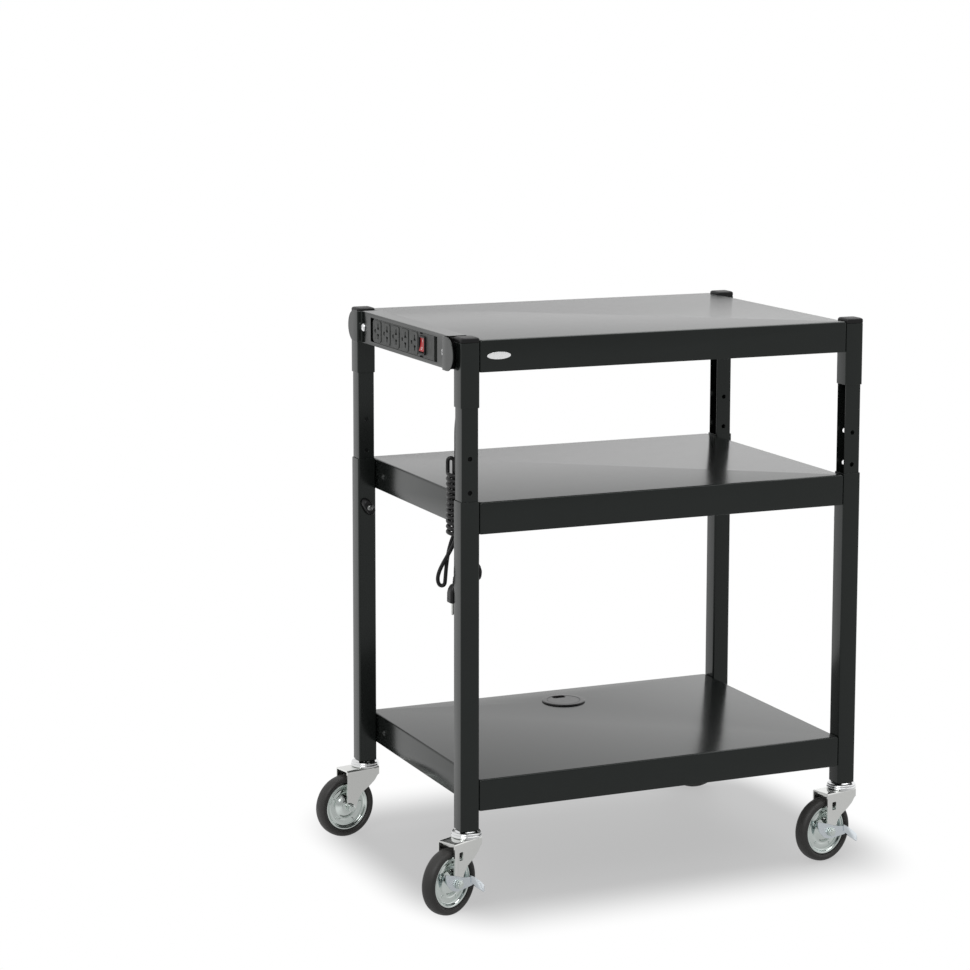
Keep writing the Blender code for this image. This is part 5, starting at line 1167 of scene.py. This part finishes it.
def makeWheel(corner, place):
    # Two pressed discs with a domed hub, a ring groove, a rolled flange and rivets, and a solid rubber tyre
    rivet = {"count": 5, "start": 0.5, "share": 0.67, "radius": 0.0024, "base": 0.0004, "dome": 0.0011}
    hub, rim, end = caster["forkHalf"] - caster["forkSheet"] - gap, caster["rimRadius"], caster["hubRadius"]
    side = [(caster["axleRadius"] + gap, hub), (end * 0.92, hub), (end, hub - 0.0006), (end * 1.02, hub - 0.0024)]
    side += [(rim * r, hub * a) for r, a in (
        (0.22, 0.80), (0.27, 0.775), (0.32, 0.72), (0.37, 0.64), (0.42, 0.54), (0.46, 0.44), (0.49, 0.36),
        (0.515, 0.31), (0.545, 0.295), (0.575, 0.31), (0.60, 0.335), (0.64, 0.35), (0.70, 0.35), (0.745, 0.335),
        (0.775, 0.30), (0.80, 0.275), (0.825, 0.285), (0.85, 0.33), (0.875, 0.42), (0.895, 0.52), (0.915, 0.585),
        (0.94, 0.61), (0.965, 0.605), (0.985, 0.575), (1.0, 0.52))]
    mesh = addTurned(side + [(r, -a) for r, a in reversed(side)], caster["segments"], "Y", axleSpot, closed=True)
    head, base = rivet["radius"], hub * 0.35 + rivet["base"]
    for sign in (-1, 1):  # rivets through the two discs
        for k in range(rivet["count"]):
            angle = 2 * pi * k / rivet["count"] + rivet["start"]
            reach = rim * rivet["share"]
            dome = [(0, hub * 0.30), (head, hub * 0.30), (head, base)]
            dome += [(head * cos(radians(a)), base + rivet["dome"] * sin(radians(a))) for a in (30, 60)]
            dome += [(0, base + rivet["dome"])]
            addTurned([(r, sign * a) for r, a in dome], 20, "Y",
                      (axleSpot[0] + reach * cos(angle), 0, axleSpot[2] + reach * sin(angle)), mesh=mesh)
    makePiece("wheelRim_" + corner, mesh, "zincPlate", "wheel_" + corner, "wheel_rim_" + corner, place=place,
              soft=[0.0002, 2, 50])
    inner, half = rim + gap, caster["tyreHalf"]
    tall = caster["wheelRadius"] - inner
    side = [(inner + tall * r, half * a) for r, a in (
        (0, 0.66), (0.10, 0.80), (0.20, 0.93), (0.30, 0.985), (0.40, 1), (0.46, 0.985), (0.52, 0.985), (0.60, 0.97),
        (0.72, 0.90), (0.84, 0.76), (0.93, 0.57), (0.98, 0.34))] + [(caster["wheelRadius"], 0.0008)]
    mesh = addTurned(side + [(r, -a) for r, a in reversed(side)], caster["segments"], "Y", axleSpot, closed=True)
    makePiece("rubberTyre_" + corner, mesh, "greyRubber", "wheel_" + corner, "tyre_" + corner, place=place)


def makeBrakeLever(corner, place):
    # Plate on the axle with a wing, its other end turned out into the pedal
    lever = {"sheet": 0.002, "plate": 0.0013, "pedalReach": 0.056, "pedalWidth": 0.0150, "pedalLength": 0.022,
             "wing": 0.029, "upright": radians(88), "flat": radians(68), "start": 0.006, "steps": 16}
    tall, thick = caster["nutRadius"] * 1.6, lever["sheet"]
    low = caster["forkHalf"] + gap + caster["ribProud"]  # outside the fork's rib
    high = low + lever["plate"]
    neck = lever["pedalLength"] - lever["pedalReach"]
    # the plate's outline, round in the direction of its points
    shares = [(0.0, -1.0), (0.45, -0.7), (0.85, 0.3), (1.0, 1.8), (0.3, 1.25), (-0.4, 0.6)]
    outline = [(neck, -tall * 0.8)] + [(lever["wing"] * a, tall * u) for a, u in shares] + [(neck, tall * 0.3)]
    rings = []
    for k in range(lever["steps"] + 1):
        share = k / lever["steps"]
        x = neck + lever["start"] - (lever["pedalReach"] + neck + lever["start"]) * share
        z = tall * (0.55 - 1.7 * share ** 1.2)
        wide = lever["pedalWidth"] * (0.75 + 0.25 * smooth(share * 2.2))
        if share > 0.8:
            wide *= sqrt(max(0.12, 1 - ((share - 0.8) / 0.21) ** 2))
        turn = lever["upright"] + (lever["flat"] - lever["upright"]) * smooth(share * 1.25)
        rings.append([(x, low + (thick + deep) * sin(turn) + wide * along * cos(turn),
                       z - wide * along * sin(turn) + deep * cos(turn))
                      for along, deep in ((0, 0), (0.33, 0.0004), (0.67, 0.0004), (1, 0), (1, -thick), (0.5, -thick),
                                          (0, -thick))])
    bore = rodMesh("Y", caster["axleRadius"] + gap, low - 0.004, high + 0.02, [(0, 0, 0)], 32)
    makePiece("brakeLever_" + corner, addPrism(roundCorners(outline, 0.004, 5), low, high, "Y"), "paleZinc",
              "lever_" + corner, "brake_lever_" + corner, place=place @ Matrix.Translation(axleSpot),
              cuts=[(addRings(rings), "UNION"), bore], soft=[0.0005, 3, 30])


for corner in corners:
    legPlace = cornerPlace(corner)
    swivelPlace = legPlace @ Matrix.Rotation(caster["trailAngles"][corner], 4, "Z")
    makeSwivelHead(corner, legPlace)
    makeFork(corner, swivelPlace)
    makeAxle(corner, swivelPlace)
    makeWheel(corner, swivelPlace)
    if corner in caster["braked"]:
        makeBrakeLever(corner, swivelPlace)
print("casters and brake levers made")


# Floor, studio lamps and the white surround
studio = {
    "floorSize": 60.0, "floorColour": (0.80, 0.80, 0.81), "worldDiffuse": 0.62, "frontGlow": 0.50,
    "sideGlow": 0.84, "shadowMiddle": (0.010, 0.025), "shadowHalf": (0.400, 0.315), "shadowSoft": (0.055, 0.10),
    "shadowRound": 1.9, "shadowLift": 0.47, "shadowMirror": 0.50, "frontFloor": 0.58, "seenShade": 0.25,
    "lamps": [
        {"name": "keyLamp", "place": (-2.6, -2.4, 3.6), "aim": (0, 0, 0.4), "size": 2.2, "power": 60},
        {"name": "topLamp", "place": (1.3, 0.4, 4.2), "aim": (0, 0, 0.2), "size": 3.0, "power": 70},
    ],
}


def eased(tree, *values):
    return ranged(tree, *values, kind="SMOOTHSTEP")


def rayKinds(tree):
    light = addNode(tree, "LightPath").outputs
    return light, combine(tree, "MAXIMUM", light["Is Camera Ray"], light["Is Transmission Ray"])


def makeFloor():
    # Pale floor with a painted shadow: round the cart's footprint the camera sees it grey, with its real shading
    # darkened, and white beyond it; in reflections it is grey there and dimmer towards the front
    mesh = bmesh.new()
    bmesh.ops.create_grid(mesh, x_segments=1, y_segments=1, size=studio["floorSize"] / 2)
    floor = makeObject("studioFloor", mesh)
    made = bpy.data.materials.new("floorPaint")
    made.use_nodes = True
    tree = made.node_tree
    shader = tree.nodes["Principled BSDF"]
    shader.inputs["Roughness"].default_value = 0.6
    shader.inputs["Specular IOR Level"].default_value = 0.2
    light, direct = rayKinds(tree)
    shaded = tuple(level * studio["seenShade"] for level in studio["floorColour"])
    tree.links.new(mixColours(tree, direct, studio["floorColour"], shaded), shader.inputs["Base Color"])
    # painted shadow: inside a rounded rectangle round the cart's footprint the floor is grey to the camera and in
    # reflections, whatever light falls there
    place = splitVector(tree, addNode(tree, "NewGeometry").outputs["Position"])
    sides = []
    for k, label in enumerate("XY"):
        offset = combine(tree, "SUBTRACT", place[label], studio["shadowMiddle"][k] + cartMiddle[k])
        beyond = combine(tree, "SUBTRACT", combine(tree, "ABSOLUTE", offset), studio["shadowHalf"][k])
        far = combine(tree, "ADD", combine(tree, "DIVIDE", beyond, studio["shadowSoft"][k]), studio["shadowRound"])
        sides.append(combine(tree, "POWER", combine(tree, "MAXIMUM", far, 0.0), 2.0))
    distance = combine(tree, "SQRT", combine(tree, "ADD", *sides))
    outside = combine(tree, "SUBTRACT", distance, studio["shadowRound"])
    seen = eased(tree, outside, -1, 1, studio["shadowLift"], 1.0)
    back = eased(tree, place["Y"], -0.4, 0.6, studio["frontFloor"], 1.0)
    mirrored = eased(tree, outside, -1, 1, studio["shadowMirror"], back)
    glossy = light["Is Glossy Ray"]
    level = combine(tree, "MAXIMUM", combine(tree, "MULTIPLY", direct, seen), glossy)
    strength = combine(tree, "MAXIMUM", direct, combine(tree, "MULTIPLY", glossy, mirrored))
    white = addNode(tree, "Emission", {"Color": (1, 1, 1, 1), "Strength": strength})
    mix = addNode(tree, "MixShader", {0: level, 1: shader.outputs["BSDF"], 2: white.outputs["Emission"]})
    tree.links.new(mix.outputs["Shader"], tree.nodes["Material Output"].inputs["Surface"])
    floor.data.materials.append(made)


def makeSurround():
    # White for camera rays; mirrored in the paint it is dimmer on the side the camera stands
    world = bpy.data.worlds.new("whiteSurround")
    scene.world = world
    world.use_nodes = True
    tree = world.node_tree
    back = tree.nodes["Background"]
    back.inputs["Color"].default_value = (1, 1, 1, 1)
    place = splitVector(tree, addNode(tree, "TexCoord").outputs["Generated"])
    light, direct = rayKinds(tree)
    mirrored = combine(tree, "MULTIPLY", eased(tree, place["Y"], -0.9, -0.1, studio["frontGlow"], 1.0),
                       eased(tree, place["X"], 0.34, 0.50, studio["sideGlow"], 1.0))
    glossy = combine(tree, "MULTIPLY", light["Is Glossy Ray"], mirrored)
    rest = combine(tree, "MULTIPLY", light["Is Diffuse Ray"], studio["worldDiffuse"])
    strength = combine(tree, "MAXIMUM", combine(tree, "MAXIMUM", direct, glossy), rest)
    tree.links.new(strength, back.inputs["Strength"])


def makeLamps():
    for lamp in studio["lamps"]:
        data = bpy.data.lights.new(lamp["name"], "AREA")
        data.shape = "SQUARE"
        data.size = lamp["size"]
        data.energy = lamp["power"]
        made = bpy.data.objects.new(lamp["name"], data)
        scene.collection.objects.link(made)
        made.location = lamp["place"]
        aim = Vector(lamp["aim"]) - Vector(lamp["place"])
        made.rotation_mode = "QUATERNION"
        made.rotation_quaternion = aim.to_track_quat("-Z", "Y")


makeFloor()
makeSurround()
makeLamps()
scene.view_settings.view_transform = "Standard"
print("floor and lamps made")
